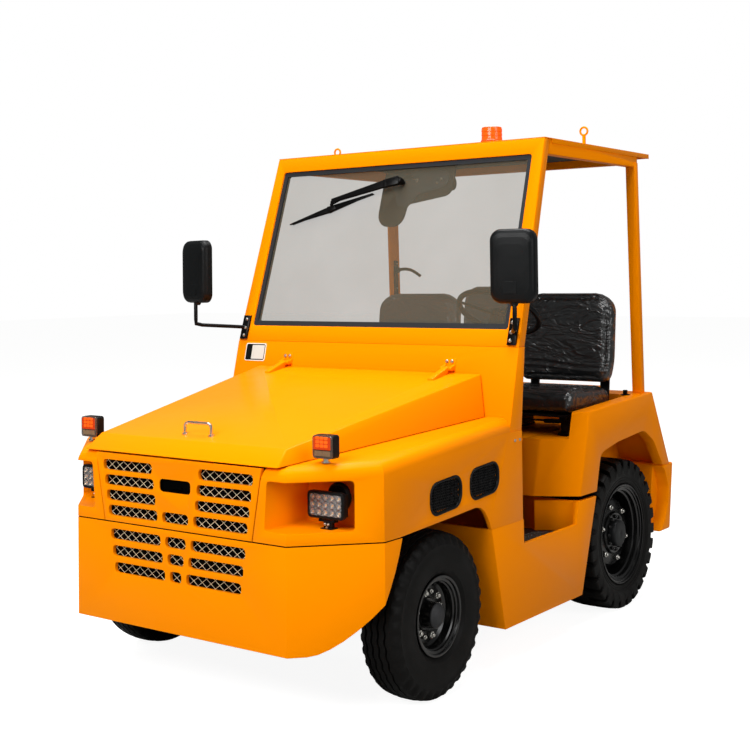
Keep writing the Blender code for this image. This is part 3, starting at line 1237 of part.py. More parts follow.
def seats():
    """Each seat is a cushion, a back with round upper corners and a moulded shell on two slides."""
    for word, x, half, back_half, back, lift, rise_more in SEATS:
        front = SEAT_FRONT_S + 0.155 + back
        deck = SEAT_DECK_Z + SEAT
        base = SEAT_DECK_Z + SLIDE_H + lift
        end = front + CUSHION_L
        low, pad_front, pad_rear = base + SEAT, base + CUSHION_T, base + CUSHION_T - 0.018
        cushion = fillet([(front, low), (end, low), (end, pad_rear), (front, pad_front)],
                         [0.035, 0.02, 0.035, 0.045], 3)
        pad = place(f"seat_cushion_{word}", side_prism(cushion, x - half, x + half), "vinyl")
        soften(pad, 0.02, 1, 60)
        foot_s, foot_z, top_z = end + 0.017, pad_rear + 0.014, base + 0.535 + rise_more
        rise = top_z - foot_z
        left, right = x - back_half, x + back_half
        face = fillet([(left, foot_z), (right, foot_z), (right, top_z), (left, top_z)],
                      [0.03, 0.03, BACK_ROUND, BACK_ROUND], 4)
        shape = front_prism(face, foot_s - BACK_T, foot_s)
        for v in shape.verts:
            v.co.y += BACK_LEAN * (v.co.z - foot_z)
        pad = place(f"seat_back_{word}", shape, "vinyl")
        soften(pad, 0.018, 2, 60)
        # moulded shell behind and below the pads on its slide rails
        pan, half_shell = 0.012, back_half - 0.045
        shell = strip([(front + 0.02, base), (foot_s + SEAT - BACK_LEAN * (foot_z - base), base),
                       (foot_s + SEAT + BACK_LEAN * (rise - 0.10), top_z - 0.10)], pan)
        shape = side_prism(shell, x - half_shell, x + half_shell)
        frame = place(f"seat_shell_{word}", shape, "plastic_black")
        # open between cushion and back, with an arm at each side
        gap = half_shell - SHELL_ARM
        cut(frame, block((x - gap, x + gap), (end - 0.03, foot_s + 0.1), (base + 0.030, foot_z + 0.030)))
        for offset in (0.028 - half_shell, half_shell - 0.028):
            near, far = x + offset - 0.02, x + offset + 0.02
            weld(frame, block((near, far), (front + 0.05, end - 0.045), (deck, base - 0.006)))


# Lamps, mirrors and wiper

LAMP_X, LAMP_S, LAMP_Z = BEND_X + 0.060, 0.140, POCKET_Z[0] + 0.084
LAMP_HALF_W, LAMP_HALF_H, LAMP_DEPTH = 0.081, 0.0475, 0.040
HORN_X, HORN_Z, HORN_R = BEND_X + 0.079, POCKET_Z[0] + 0.107, 0.052


def headlamp(side):
    """Rectangular work lamp on a bracket that stands in the pocket."""
    name = "headlamp_left" if side > 0 else "headlamp_right"
    case = rounded_box(LAMP_X, LAMP_Z, 2 * LAMP_HALF_W, 2 * LAMP_HALF_H, 0.016, 2)
    shape = front_prism(case, LAMP_S, LAMP_S + LAMP_DEPTH)
    body = place(name, mirror_x(shape, side), "plastic_black")
    soften(body, 0.004, 1, 50)
    foot_s = (LAMP_S + 0.008, LAMP_S + LAMP_DEPTH - 0.008)
    low = POCKET_Z[0] + SEAT
    under = LAMP_Z - LAMP_HALF_H
    saddle = block((LAMP_X - 0.030, LAMP_X + 0.030), foot_s, (under - 0.013, under + 0.006))
    weld(body, mirror_x(saddle, side))
    weld(body, mirror_x(block((LAMP_X - 0.018, LAMP_X + 0.022), foot_s, (low, under - 0.010)), side))
    return body


def horn():
    """Round horn on the back wall of the left pocket."""
    face = LAMP_S + LAMP_DEPTH + 0.008
    shape = rod((HORN_X, face, HORN_Z), (HORN_X, face + 0.022, HORN_Z), HORN_R, 24, HORN_R - 0.012)
    body = place("horn", shape, "plastic_black")
    weld(body, rod((HORN_X, face + 0.015, HORN_Z), (HORN_X, POCKET_REAR_S - SEAT, HORN_Z), 0.018, 16))
    return body


def turn_lamp(side):
    """Square lamp on a short stud."""
    name = "turn_lamp_left" if side > 0 else "turn_lamp_right"
    x, s = BEND_X + 0.070, 0.137
    half_w, depth, stud, high = 0.044, 0.048, 0.018, 0.082
    base = shoulder_z(s)
    near, far = s - 0.012, s + 0.012
    foot = [(near, shoulder_z(near) + SEAT), (far, shoulder_z(far) + SEAT), (far, base + stud + 0.004),
            (near, base + stud + 0.004)]
    body = place(name, mirror_x(side_prism(foot, x - 0.015, x + 0.015), side), "lens_amber")
    case = rounded_box(side * x, base + stud + high / 2, 2 * half_w, high, 0.010, 2)
    weld(body, front_prism(case, s - depth / 2, s + depth / 2))
    return body


MIRROR_TURN = math.radians(12)     # the cases turn outwards
MIRROR_X, MIRROR_S, MIRROR_Z = HALF_WIDTH + 0.0935, 1.005, 1.597


def mirror(side):
    """Case turned outwards on a bent arm, with a mounting plate on the pillar's front face."""
    name = "mirror_left" if side > 0 else "mirror_right"
    x, s, z = MIRROR_X, MIRROR_S, MIRROR_Z
    half_w, half_h, depth = 0.0935, 0.147, 0.055
    case = front_prism(rounded_box(0, 0, 2 * half_w, 2 * half_h, 0.045, 3), -depth / 2, depth / 2)
    # the case narrows towards its front
    for v in case.verts:
        if v.co.y < Y(0):
            v.co.x *= 0.90
            v.co.z *= 0.93
    turn = Matrix.Rotation(side * MIRROR_TURN, 4, "Z")
    centre = Matrix.Translation((side * x, Y(s), z))
    body = place(name, moved(case, centre @ turn @ Matrix.Translation((0, -Y(0), 0))), "plastic_black")
    soften(body, 0.010, 2, 40)
    pillar_x, pillar_z = HALF_WIDTH - 0.0345, COWL_TOP_Z + 0.0637
    pillar_s = screen_s(pillar_z)
    bend_z = pillar_z + 0.022
    arm = [(pillar_x, pillar_s - 0.008, pillar_z), (x - 0.02, s + 0.022, bend_z - 0.007),
           (x, s + 0.002, bend_z), (x, s, bend_z + 0.02), (x, s, z - half_h + 0.02)]
    weld(body, mirror_x(sweep(arm, 0.009, 10), side))
    low, high, half = pillar_z - 0.055, pillar_z + 0.055, 0.020
    plate = [(pillar_x - half, low), (pillar_x + half, low), (pillar_x + half, high), (pillar_x - half, high)]
    foot = leaned(front_prism(plate, COWL_TOP_S - 0.012 - SEAT, COWL_TOP_S - SEAT), COWL_TOP_Z)
    weld(body, mirror_x(foot, side))
    return body


WIPER_X, WIPER_Z = 0.028, ROOF_Z - 0.1625


def wiper_point(x, z, out):
    """A point in front of the glass by a distance along its normal."""
    lean = math.atan(GLASS_LEAN)
    glass_front = COWL_TOP_S + 0.018
    s = glass_front + GLASS_LEAN * (z - COWL_TOP_Z) - out / math.cos(lean)
    return (x, s, z)


def wiper():
    pivot_in = wiper_point(WIPER_X, WIPER_Z, SEAT)
    lean = math.atan(GLASS_LEAN)
    out = Vector((0, -math.cos(lean), math.sin(lean)))
    start = Vector((WIPER_X, Y(pivot_in[1]), WIPER_Z))
    end = start + out * 0.045
    a = (start.x, start.y + LENGTH / 2, start.z)
    b = (end.x, end.y + LENGTH / 2, end.z)
    body = place("wiper", rod(a, b, 0.013, 16), "plastic_black", tuple(start))
    tip = wiper_point(WIPER_X - 0.378, WIPER_Z - 0.069, 0.030)
    bend = wiper_point(WIPER_X - 0.075, WIPER_Z - 0.004, 0.046)
    weld(body, sweep([b, bend, tip], 0.010, 8))
    blade_a = wiper_point(WIPER_X - 0.622, WIPER_Z - 0.173, 0.016)
    blade_b = wiper_point(WIPER_X - 0.153, WIPER_Z - 0.043, 0.016)
    weld(body, sweep([blade_a, blade_b], 0.009, 8))
    weld(body, sweep([tip, wiper_point(WIPER_X - 0.380, WIPER_Z - 0.105, 0.014)], 0.008, 8))
    return body


# wiper bracket's corners from the wiper's pivot, with the radius of each; it ends under the header
BRACKET_TOP = ROOF_Z - 0.045
BRACKET = ((-0.141, BRACKET_TOP - WIPER_Z, 0.010), (0.246, BRACKET_TOP - WIPER_Z, 0.010),
           (0.246, -0.064, 0.046), (0.012, -0.100, 0.025), (-0.002, -0.201, 0.058), (-0.141, -0.201, 0.066))


def wiper_motor():
    """Grey bracket with round lobes on the back of the header, with the motor behind it."""
    back, sheet = COWL_TOP_S + FRAME_DEPTH + SEAT, 0.012

    def at(x, z, out):
        return (x, back + out + GLASS_LEAN * (z - COWL_TOP_Z), z)
    x, z = WIPER_X, WIPER_Z
    outline = fillet([(x + dx, z + dz) for dx, dz, _ in BRACKET], [radius for *_, radius in BRACKET], 5)
    body = place("wiper_motor", leaned(front_prism(outline, back, back + sheet), COWL_TOP_Z), "motor_grey")
    weld(body, rod(at(x, z, sheet / 2), at(x, z + 0.014, 0.050), 0.040, 16))
    weld(body, rod(at(x + 0.022, z - 0.008, 0.035), at(x + 0.222, z - 0.008, 0.035), 0.034, 16))
    return body


def main():
    front_bumper()
    grille_panel()
    grille_screen()
    radiator()
    for side in (1, -1):
        front_fender(side)
    bonnet()
    bonnet_handle()
    cowl()
    for side in (1, -1):
        side_step(side)
    cab_floor()
    seat_platform()
    for side in (1, -1):
        rear_fender(side)
    rear_bumper()
    hitch_pin()
    chassis_frame()
    engine_block()
    front_axle()
    for side in (1, -1):
        knuckle(side)
    tie_rod()
    wheels()
    drive_axle()
    windscreen_frame()
    windscreen()
    roof_frame()
    roof_panel()
    beacon()
    dashboard()
    steering_column()
    steering_wheel()
    seats()
    for side in (1, -1):
        headlamp(side)
        turn_lamp(side)
        mirror(side)
    horn()
    wiper()
    wiper_motor()


main()
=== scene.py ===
import json
from functools import partial
from math import atan, atan2, copysign, cos, exp, hypot, pi, radians, sin, sqrt, tan, tau

import bmesh
import bpy
from mathutils import Matrix, Vector, noise


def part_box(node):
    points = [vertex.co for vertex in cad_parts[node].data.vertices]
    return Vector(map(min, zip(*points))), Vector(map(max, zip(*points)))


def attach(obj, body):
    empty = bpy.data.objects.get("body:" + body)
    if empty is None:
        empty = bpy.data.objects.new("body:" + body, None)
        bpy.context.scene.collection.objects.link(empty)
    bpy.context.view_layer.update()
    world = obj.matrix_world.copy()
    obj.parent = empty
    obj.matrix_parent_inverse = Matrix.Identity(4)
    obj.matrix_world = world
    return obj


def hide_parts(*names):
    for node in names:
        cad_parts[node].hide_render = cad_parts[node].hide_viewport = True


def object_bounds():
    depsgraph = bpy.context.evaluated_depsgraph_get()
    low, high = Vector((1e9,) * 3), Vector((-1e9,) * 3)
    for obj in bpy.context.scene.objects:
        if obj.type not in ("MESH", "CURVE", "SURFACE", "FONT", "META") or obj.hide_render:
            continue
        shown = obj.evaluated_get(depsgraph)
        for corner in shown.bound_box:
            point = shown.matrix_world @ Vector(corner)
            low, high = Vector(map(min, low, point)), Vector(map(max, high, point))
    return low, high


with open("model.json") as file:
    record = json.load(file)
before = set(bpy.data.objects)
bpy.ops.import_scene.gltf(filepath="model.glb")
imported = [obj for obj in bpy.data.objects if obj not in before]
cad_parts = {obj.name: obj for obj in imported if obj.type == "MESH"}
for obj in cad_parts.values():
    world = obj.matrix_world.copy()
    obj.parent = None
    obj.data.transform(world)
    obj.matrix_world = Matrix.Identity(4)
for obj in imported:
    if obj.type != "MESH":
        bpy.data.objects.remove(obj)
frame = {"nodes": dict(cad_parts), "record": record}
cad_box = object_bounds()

NODES = frame["nodes"]
SIDES = ((1, "left"), (-1, "right"))
NOSE_Y = cad_box[0][1]           # front face of the bumper; stations are counted back from it
UP = Vector((0, 0, 1))


def span(node):
    """Lowest corner, highest corner and middle of a CAD node."""
    low, high = (Vector(corner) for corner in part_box(node))
    return low, high, (low + high) / 2


def mm(*points):
    """A table in millimetres as points in metres."""
    return tuple(tuple(value / 1000 for value in point) for point in points)


# Colours and node trees

def tone(code):
    """An sRGB hex colour as the linear colour that Blender works in."""
    parts = [int(code[i:i + 2], 16) / 255 for i in (1, 3, 5)]
    return tuple(c / 12.92 if c <= 0.04045 else ((c + 0.055) / 1.055) ** 2.4 for c in parts) + (1.0,)


def feed(made, **inputs):
    """Give a node's inputs, named or i and a number, values or other nodes' outputs."""
    for key, value in inputs.items():
        numbered = key[0] == "i" and key[1:].isdigit()
        socket = made.inputs[int(key[1:]) if numbered else key.replace("_", " ")]
        if isinstance(value, bpy.types.NodeSocket):
            made.id_data.links.new(value, socket)
        else:
            socket.default_value = value
    return made


def add_node(tree, kind, settings=None, **inputs):
    made = tree.nodes.new("ShaderNode" + kind)
    for key, value in (settings or {}).items():
        setattr(made, key, value)
    return feed(made, **inputs)


def new_material(name):
    """A material, a function that adds nodes to it, its shader and its object coordinates."""
    material = bpy.data.materials.new(name)
    material.use_nodes = True
    tree = material.node_tree
    add = partial(add_node, tree)
    return material, add, tree.nodes["Principled BSDF"], add("TexCoord").outputs["Object"]


def blended(add, share, low, high):
    return add("Mix", {"data_type": "RGBA"}, i0=share, i6=low, i7=high).outputs[2]


def ranged(add, value, *limits):
    """A value carried from one range to another."""
    return add("MapRange", Value=value, **{f"i{i + 1}": limit for i, limit in enumerate(limits)}).outputs[0]


def bumped(add, height, strength, distance=0.001, **over):
    return add("Bump", Height=height, Strength=strength, Distance=distance, **over).outputs[0]


def body_enamel():
    """Two-pack enamel sprayed on folded sheet steel: deep amber gloss with a faint orange peel."""
    material, add, shader, place = new_material("two_pack_enamel_amber")
    # the coat varies in depth over about 300 mm
    cloud = add("TexNoise", Vector=place, Scale=3.0, Detail=2.0, Roughness=0.5).outputs["Fac"]
    # orange peel about 3 mm across, and a gloss that drifts over 90 mm
    peel = add("TexNoise", Vector=place, Scale=330.0, Detail=1.0).outputs["Fac"]
    marks = add("TexNoise", Vector=place, Scale=11.0, Detail=3.0, Roughness=0.5).outputs["Fac"]
    feed(shader, Base_Color=blended(add, cloud, tone("#F68800"), tone("#F98B00")),
         Roughness=ranged(add, marks, 0.35, 0.7, 0.28, 0.31), Normal=bumped(add, peel, 0.02),
         Specular_IOR_Level=0.06, Specular_Tint=tone("#FFC020"))
    return material


PALER = 1.25          # how much lighter a finish drifts


def grained(name, code, roughness, metallic=0.0, grain=0.1, grain_mm=3.0, shine=0.5):
    """A finish with a soft drift in tone, a varying gloss and a fine surface grain of a real size."""
    material, add, shader, place = new_material(name)
    cloud = add("TexNoise", Vector=place, Scale=9.0, Detail=5.0).outputs["Fac"]
    high = [min(1.0, c * PALER) for c in tone(code)[:3]] + [1.0]
    fine = add("TexNoise", Vector=place, Scale=1000.0 / grain_mm, Detail=3.0).outputs["Fac"]
    feed(shader, Base_Color=blended(add, cloud, tone(code), high),
         Roughness=ranged(add, cloud, 0.3, 0.7, roughness * 0.85, roughness * 1.15), Metallic=metallic,
         Specular_IOR_Level=0.5 if metallic else shine, Normal=bumped(add, fine, grain))
    return material


def wrapped_vinyl(name, ground, crease_highlight):
    """Black seat vinyl still in its clear delivery film, whose creases catch the light."""
    material, add, shader, place = new_material(name)
    # film creases 60 to 200 mm long that run slantwise down the pads
    slant = add("Mapping", Vector=place, Scale=(3.2, 5.0, 9.0), Rotation=(0.25, 0.75, 0.5)).outputs[0]
    crease = add("TexNoise", Vector=slant, Scale=1.0, Detail=3.0, Roughness=0.5,
                 Distortion=1.6).outputs["Fac"]
    ridge = add("Math", {"operation": "PINGPONG"}, i0=crease, i1=0.11)
    film = bumped(add, ridge.outputs[0], 0.6, 0.035)
    # pale lines painted along the sharp folds of the film: painted highlights where the creases catch the
    # light
    fold = add("TexNoise", Vector=slant, Scale=4.0, Detail=4.0, Roughness=0.6, Distortion=2.2).outputs["Fac"]
    line = ranged(add, fold, 0.66, 0.76, 0.0, 0.4)
    # leather grain of 1 mm pressed into the vinyl
    grain = add("TexVoronoi", Vector=place, Scale=900.0).outputs["Distance"]
    feed(shader, Base_Color=blended(add, line, tone(ground), tone(crease_highlight)), Coat_Normal=film,
         Normal=bumped(add, grain, 0.12, 0.0005, Normal=film), Roughness=0.42, Specular_IOR_Level=0.35,
         Coat_Weight=1.0, Coat_Roughness=0.12)
    return material


def glazing():
    """Laminated glass with a warm grey tint and a thin film of dust that varies in patches."""
    material, add, shader, place = new_material("laminated_glass")
    dust = add("TexNoise", Vector=place, Scale=2.2, Detail=3.0).outputs["Fac"]
    feed(shader, Alpha=ranged(add, dust, 0.3, 0.7, 0.31, 0.35), Base_Color=tone("#6B6454"), Roughness=0.05,
         Specular_IOR_Level=0.15)
    return material


def lens(name, code, cover, pitch_mm, glow):
    """Moulded acrylic with ribs of a real pitch inside; the glow stands for light that comes through it."""
    material, add, shader, place = new_material(name)
    ribs = add("TexWave", {"bands_direction": "X"}, Vector=place, Scale=1000.0 / pitch_mm / 20).outputs["Fac"]
    feed(shader, Normal=bumped(add, ribs, 0.5), Base_Color=tone(code), Roughness=0.15,
         Specular_IOR_Level=0.35, Alpha=cover, Emission_Color=tone(code), Emission_Strength=glow)
    return material


ENAMEL = body_enamel()
CHASSIS_BLACK = grained("chassis_enamel_black", "#0E0E0E", 0.42, shine=0.25)
TYRE_RUBBER = grained("carbon_black_rubber", "#0C0B0A", 0.50, grain=0.25, grain_mm=2.0, shine=0.10)
SEAL_RUBBER = grained("epdm_seal", "#222528", 0.6, shine=0.2)
VINYL = wrapped_vinyl("vinyl_under_clear_film", "#1A1C1D", "#8E9096")
# a lighter copy of the same vinyl: its grey ground and pale creases are painted film highlight on the seats
# behind the windscreen
FILM_SHEEN_VINYL = wrapped_vinyl("vinyl_with_painted_film_sheen", "#46484A", "#B4B6BA")
ABS_BLACK = grained("moulded_abs_black", "#0C0E0F", 0.38, grain=0.15, grain_mm=1.0, shine=0.14)
BRACKET_BLACK = grained("powder_coated_steel_black", "#060606", 0.34, grain=0.1, shine=0.12)
SHADOW_BLACK = grained("unlit_sheet_black", "#020202", 0.9, shine=0.02)
COMB_BLACK = grained("honeycomb_abs_black", "#161617", 0.42, shine=0.3)
CASTING = grained("painted_casting", "#1C1C1E", 0.6, grain=0.4, grain_mm=4.0)
ZINC = grained("zinc_plated_steel", "#C8C6BE", 0.3, metallic=1.0)
# the wire is given a pale cream tone
MESH_WIRE = grained("pale_cream_wire", "#FFE9C4", 0.35)
RIM_ENAMEL = grained("wheel_enamel_black", "#060606", 0.22, shine=0.55)
DULL_STEEL = grained("phosphated_steel", "#C4C2BC", 0.24, metallic=1.0, grain=0.1)
HUB_GREY = grained("hub_cap_enamel", "#191A1B", 0.45, grain=0.1, shine=0.2)
MOTOR_GREY = grained("hammered_grey_enamel", "#0C1318", 0.5, grain=0.2, grain_mm=6.0, shine=0.2)
PALE_GREY = grained("pale_grey_enamel", "#26343C", 0.5, grain=0.1, grain_mm=6.0, shine=0.2)
TREAD_BLACK = grained("worn_tread_plate", "#2A241D", 0.4, grain=0.3)
LINING = grained("needled_felt_grey", "#35322E", 0.95, grain=0.5, grain_mm=2.0)
PLATE_WHITE = grained("printed_foil_white", "#E4E2DC", 0.4, grain=0.0)
PLATE_GREY = grained("printed_foil_grey", "#C6C6BE", 0.4, grain=0.0)
DIAL_FACE = grained("gauge_face", "#22252A", 0.2, grain=0.0)
GLASS = glazing()
REFLECTOR = grained("vacuum_metallised_bowl", "#5C4E3E", 0.16, metallic=1.0, grain=0.05)
LED_CHIP = lens("phosphor_chip", "#B87A28", 1.0, 2.0, 0.06)
COVER_GLASS = lens("clear_polycarbonate", "#FFFFFF", 0.10, 30.0, 0.0)
BEZEL = lens("smoked_bezel", "#5A4A40", 0.75, 6.0, 0.0)
AMBER_LENS = lens("amber_acrylic", "#C93A04", 0.95, 4.0, 0.06)
AMBER_GLOW = lens("amber_prism", "#FA6410", 0.95, 3.0, 0.16)
CLEAR_RIBS = lens("clear_ribbed_acrylic", "#8E7458", 0.85, 3.0, 0.02)
BEACON_LENS = lens("beacon_acrylic", "#FF5A0A", 0.97, 8.0, 0.30)
BEACON_FOOT = lens("beacon_base_acrylic", "#E85010", 1.0, 8.0, 0.10)
MIRROR_GLASS = grained("silvered_mirror_glass", "#D7DADC", 0.03, metallic=1.0, grain=0.0)

# finishes worn in each slot; the first is that of the CAD nodes that stay
FINISHES = {
    "paint_amber": (ENAMEL,), "paint_black": (CHASSIS_BLACK, RIM_ENAMEL, MESH_WIRE, TREAD_BLACK),
    "cast_grey": (CASTING, HUB_GREY), "rubber": (TYRE_RUBBER,), "seal_rubber": (SEAL_RUBBER,),
    "vinyl": (VINYL, FILM_SHEEN_VINYL), "motor_grey": (MOTOR_GREY, PALE_GREY),
    "plastic_black": (ABS_BLACK, BRACKET_BLACK, SHADOW_BLACK, COMB_BLACK, BEZEL, BEACON_FOOT, LINING),
    "steel_zinc": (ZINC, DULL_STEEL, REFLECTOR, PLATE_WHITE, PLATE_GREY),
    "glass": (GLASS, COVER_GLASS, MIRROR_GLASS, DIAL_FACE),
    "lens_amber": (AMBER_LENS, AMBER_GLOW, LED_CHIP, CLEAR_RIBS, BEACON_LENS),
}
for entry in frame["record"]["subparts"]:
    mesh = NODES[entry["node"]].data
    mesh.materials.clear()
    mesh.materials.append(FINISHES[entry["material_slot"]][0])


# Modelling steps

def clear():
    if bpy.context.mode != "OBJECT":
        leave()
    bpy.ops.object.select_all(action="DESELECT")


def begin(name, add, **size):
    """Add a primitive at its size and place under a plain name."""
    clear()
    add(**size)
    piece = bpy.context.active_object
    piece.name = name
    piece.data.name = name
    return piece


def take(piece):
    clear()
    piece.select_set(True)
    bpy.context.view_layer.objects.active = piece
    return piece


def settle(piece):
    take(piece)
    bpy.ops.object.transform_apply(location=True, rotation=True, scale=True)
    return piece


def pick(piece, kind, test):
    """In edit mode, select the vertices, edges or faces that pass a test on their middle and normal."""
    take(piece)
    bpy.ops.object.mode_set(mode="EDIT")
    bpy.ops.mesh.select_mode(type=kind)
    bpy.ops.mesh.select_all(action="DESELECT")
    shape = bmesh.from_edit_mesh(piece.data)
    group = {"VERT": shape.verts, "EDGE": shape.edges, "FACE": shape.faces}[kind]
    for item in group:
        middle = item.co if kind == "VERT" else sum((v.co for v in item.verts), Vector()) / len(item.verts)
        normal = item.normal if kind != "EDGE" else (item.verts[1].co - item.verts[0].co).normalized()
        if test(middle, normal):
            item.select_set(True)
    shape.select_flush_mode()
    bmesh.update_edit_mesh(piece.data)


def finish_mesh(piece):
    """Merge doubles, turn faces outwards and leave edit mode."""
    take(piece)
    bpy.ops.object.mode_set(mode="EDIT")
    bpy.ops.mesh.select_all(action="SELECT")
    bpy.ops.mesh.remove_doubles(threshold=0.00002)
    bpy.ops.mesh.normals_make_consistent(inside=False)
    leave()
    return piece


def modify(piece, kind, **settings):
    """Add a modifier and apply it."""
    take(piece)
    step = piece.modifiers.new(kind.lower(), kind)
    for key, value in settings.items():
        setattr(step, key, value)
    bpy.ops.object.modifier_apply(modifier=step.name)
    return piece


def repeated(piece, count, step):
    """A row of copies, each a step on from the last."""
    return modify(piece, "ARRAY", count=count, use_relative_offset=False, use_constant_offset=True,
                  constant_offset_displace=step)


def leave():
    """Back to object mode."""
    bpy.ops.object.mode_set(mode="OBJECT")


def extrude(step):
    bpy.ops.mesh.extrude_region_move(TRANSFORM_OT_translate={"value": step})


def every(middle, normal):
    return True


def about(point, matrix):
    """A turn or a scale about a point."""
    return Matrix.Translation(point) @ matrix @ Matrix.Translation(-point)


def rounded_edges(piece, width, segments=2, angle=35):
    return modify(piece, "BEVEL", width=width, segments=segments, limit_method="ANGLE",
                  angle_limit=radians(angle), harden_normals=False)


def smooth(piece, angle=35):
    take(piece)
    bpy.ops.object.shade_smooth_by_angle(angle=radians(angle))
    return piece


def box(name, low, high, radius=0.0, segments=2):
    """A block between two corners with rounded edges."""
    low, high = Vector(low), Vector(high)
    piece = begin(name, bpy.ops.mesh.primitive_cube_add, size=1, location=(low + high) / 2)
    piece.scale = high - low
    settle(piece)
    if radius:
        rounded_edges(piece, radius, segments)
    return smooth(piece)


def boxes(x, y, table):
    """Blocks from rows of name, two corners and rounding; their x and y are counted from a place."""
    return [box(name, (x + a, y + b, c), (x + d, y + e, f), radius)
            for name, (a, b, c), (d, e, f), radius in table]


def turned(name, profile, centre, axis=(1, 0, 0), steps=64):
    """Spin a closed outline of (along the axle, radius) about an axle."""
    axis, centre = Vector(axis).normalized(), Vector(centre)
    out = UP if abs(axis.z) < 0.9 else Vector((1, 0, 0))
    out = (out - axis * out.dot(axis)).normalized()
    piece = begin(name, bpy.ops.mesh.primitive_circle_add, vertices=len(profile), radius=0.1,
                  fill_type="NOTHING")
    for vert, (along, radius) in zip(piece.data.vertices, profile):
        vert.co = centre + axis * along + out * radius
    pick(piece, "VERT", every)
    bpy.ops.mesh.spin(steps=steps, angle=tau, center=centre, axis=axis)
    return smooth(finish_mesh(piece))


def cut_off(piece, place, normal):
    """Bisect, drop what lies beyond the plane and close the cut."""
    pick(piece, "VERT", every)
    bpy.ops.mesh.bisect(plane_co=place, plane_no=normal, clear_outer=True, use_fill=True)
    leave()
    return piece


def copied(piece, name, matrix):
    """A copy with its own mesh, moved by a matrix that is applied to the mesh."""
    twin = bpy.data.objects.new(name, piece.data.copy())
    bpy.context.scene.collection.objects.link(twin)
    twin.data.transform(matrix)
    if matrix.determinant() < 0:
        twin.data.flip_normals()
    return twin


def joined(name, pieces):
    clear()
    for piece in pieces:
        piece.select_set(True)
    bpy.context.view_layer.objects.active = pieces[0]
    bpy.ops.object.join()
    whole = bpy.context.active_object
    whole.name = name
    whole.data.name = name
    return whole


def fit(piece, material, *hidden, body="chassis", slot_name=None):
    """Give a finished piece its finish and its body, and hide the nodes it stands for; slot_name is not used.
    """
    piece.data.materials.clear()
    piece.data.materials.append(material)
    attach(piece, body)
    if hidden:
        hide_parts(*hidden)


def cad_copy(node, name):
    """A merged copy of a CAD node, flat faces made whole."""
    piece = bpy.data.objects.new(name, NODES[node].data.copy())
    bpy.context.scene.collection.objects.link(piece)
    finish_mesh(piece)
    return modify(piece, "DECIMATE", decimate_type="DISSOLVE", angle_limit=radians(0.5))


# Wheels

def both_sides(half):
    """A tyre's outline from one half of it."""
    return half + [(-along, radius) for along, radius in reversed(half)]


def front_tread():
    """Rib tyre of the left front wheel: three zigzag grooves and notched shoulders."""
    low, high, middle = span("front_tyre_left")
    radius, half = (high.z - low.z) / 2 - 0.0005, (high.x - low.x) / 2 - 0.0005
    rim = (span("front_rim_left")[1].z - span("front_rim_left")[0].z) / 2
    groove, deep, sway = 0.0040, 0.009, 0.0022
    outline = [(0.0575, rim - 0.0175), (0.066, rim + 0.002), (half * 0.90, rim + 0.014),
               (half * 0.95, rim + 0.020), (half * 0.955, rim + 0.024), (half * 0.985, radius - 0.112),
               (half, radius - 0.088), (half * 0.995, radius - 0.068), (half * 0.970, radius - 0.050),
               (half * 0.978, radius - 0.047), (half * 0.955, radius - 0.034), (half * 0.90, radius - 0.020),
               (half * 0.82, radius - 0.011), (half * 0.70, radius - 0.006)]
    ribs = []
    for at, drop in ((half * 0.48, 0.003), (half * 0.16, 0.0)):
        ribs += [(at + groove, radius - drop), (at + groove * 0.5, radius - drop - deep),
                 (at - groove * 0.5, radius - drop - deep), (at - groove, radius - drop)]
    steps = 144
    tyre = turned("front_tyre", both_sides(outline + ribs), middle, steps=steps)
    # pairs of columns shift left and right for the zigzag, and every other pair is notched at the shoulder
    for vert in tyre.data.vertices:
        off = vert.co - middle
        reach, turn = hypot(off.y, off.z), atan2(off.z, off.y) % tau
        column = round(turn / tau * steps)
        across = abs(off.x)
        if across < half * 0.62 and reach > radius - 0.016:
            vert.co.x += sway * (1 if column % 4 < 2 else -1)
        if column % 4 in (0, 1) and half * 0.80 < across < half * 0.965 and reach > radius - 0.036:
            pull = 0.0075 * sin(pi * (across / half - 0.78) / 0.20)
            vert.co = middle + Vector((off.x - copysign(pull * 0.6, off.x),
                                       *(Vector((off.y, off.z)) * (1 - pull / reach))))
    return smooth(tyre, 25)


# rear tyre: share of its half-width, and how far the lug's top and the groove's floor lie below the tread
LUG_ROWS = ((0.10, 0.0, 0.0), (0.20, 0.0, 0.0), (0.24, 0.0, 0.021), (0.60, 0.001, 0.023),
            (0.90, 0.005, 0.029), (0.975, 0.009, 0.038), (1.0, 0.014, 0.048), (1.0, 0.040, 0.058),
            (0.985, 0.068, 0.068))
LUGS = 28
# where the columns of one lug stand, in shares of the pitch: four on its top, four in the groove
LUG_TURNS = (0.0, 0.21, 0.42, 0.62, 0.645, 0.75, 0.86, 0.975)


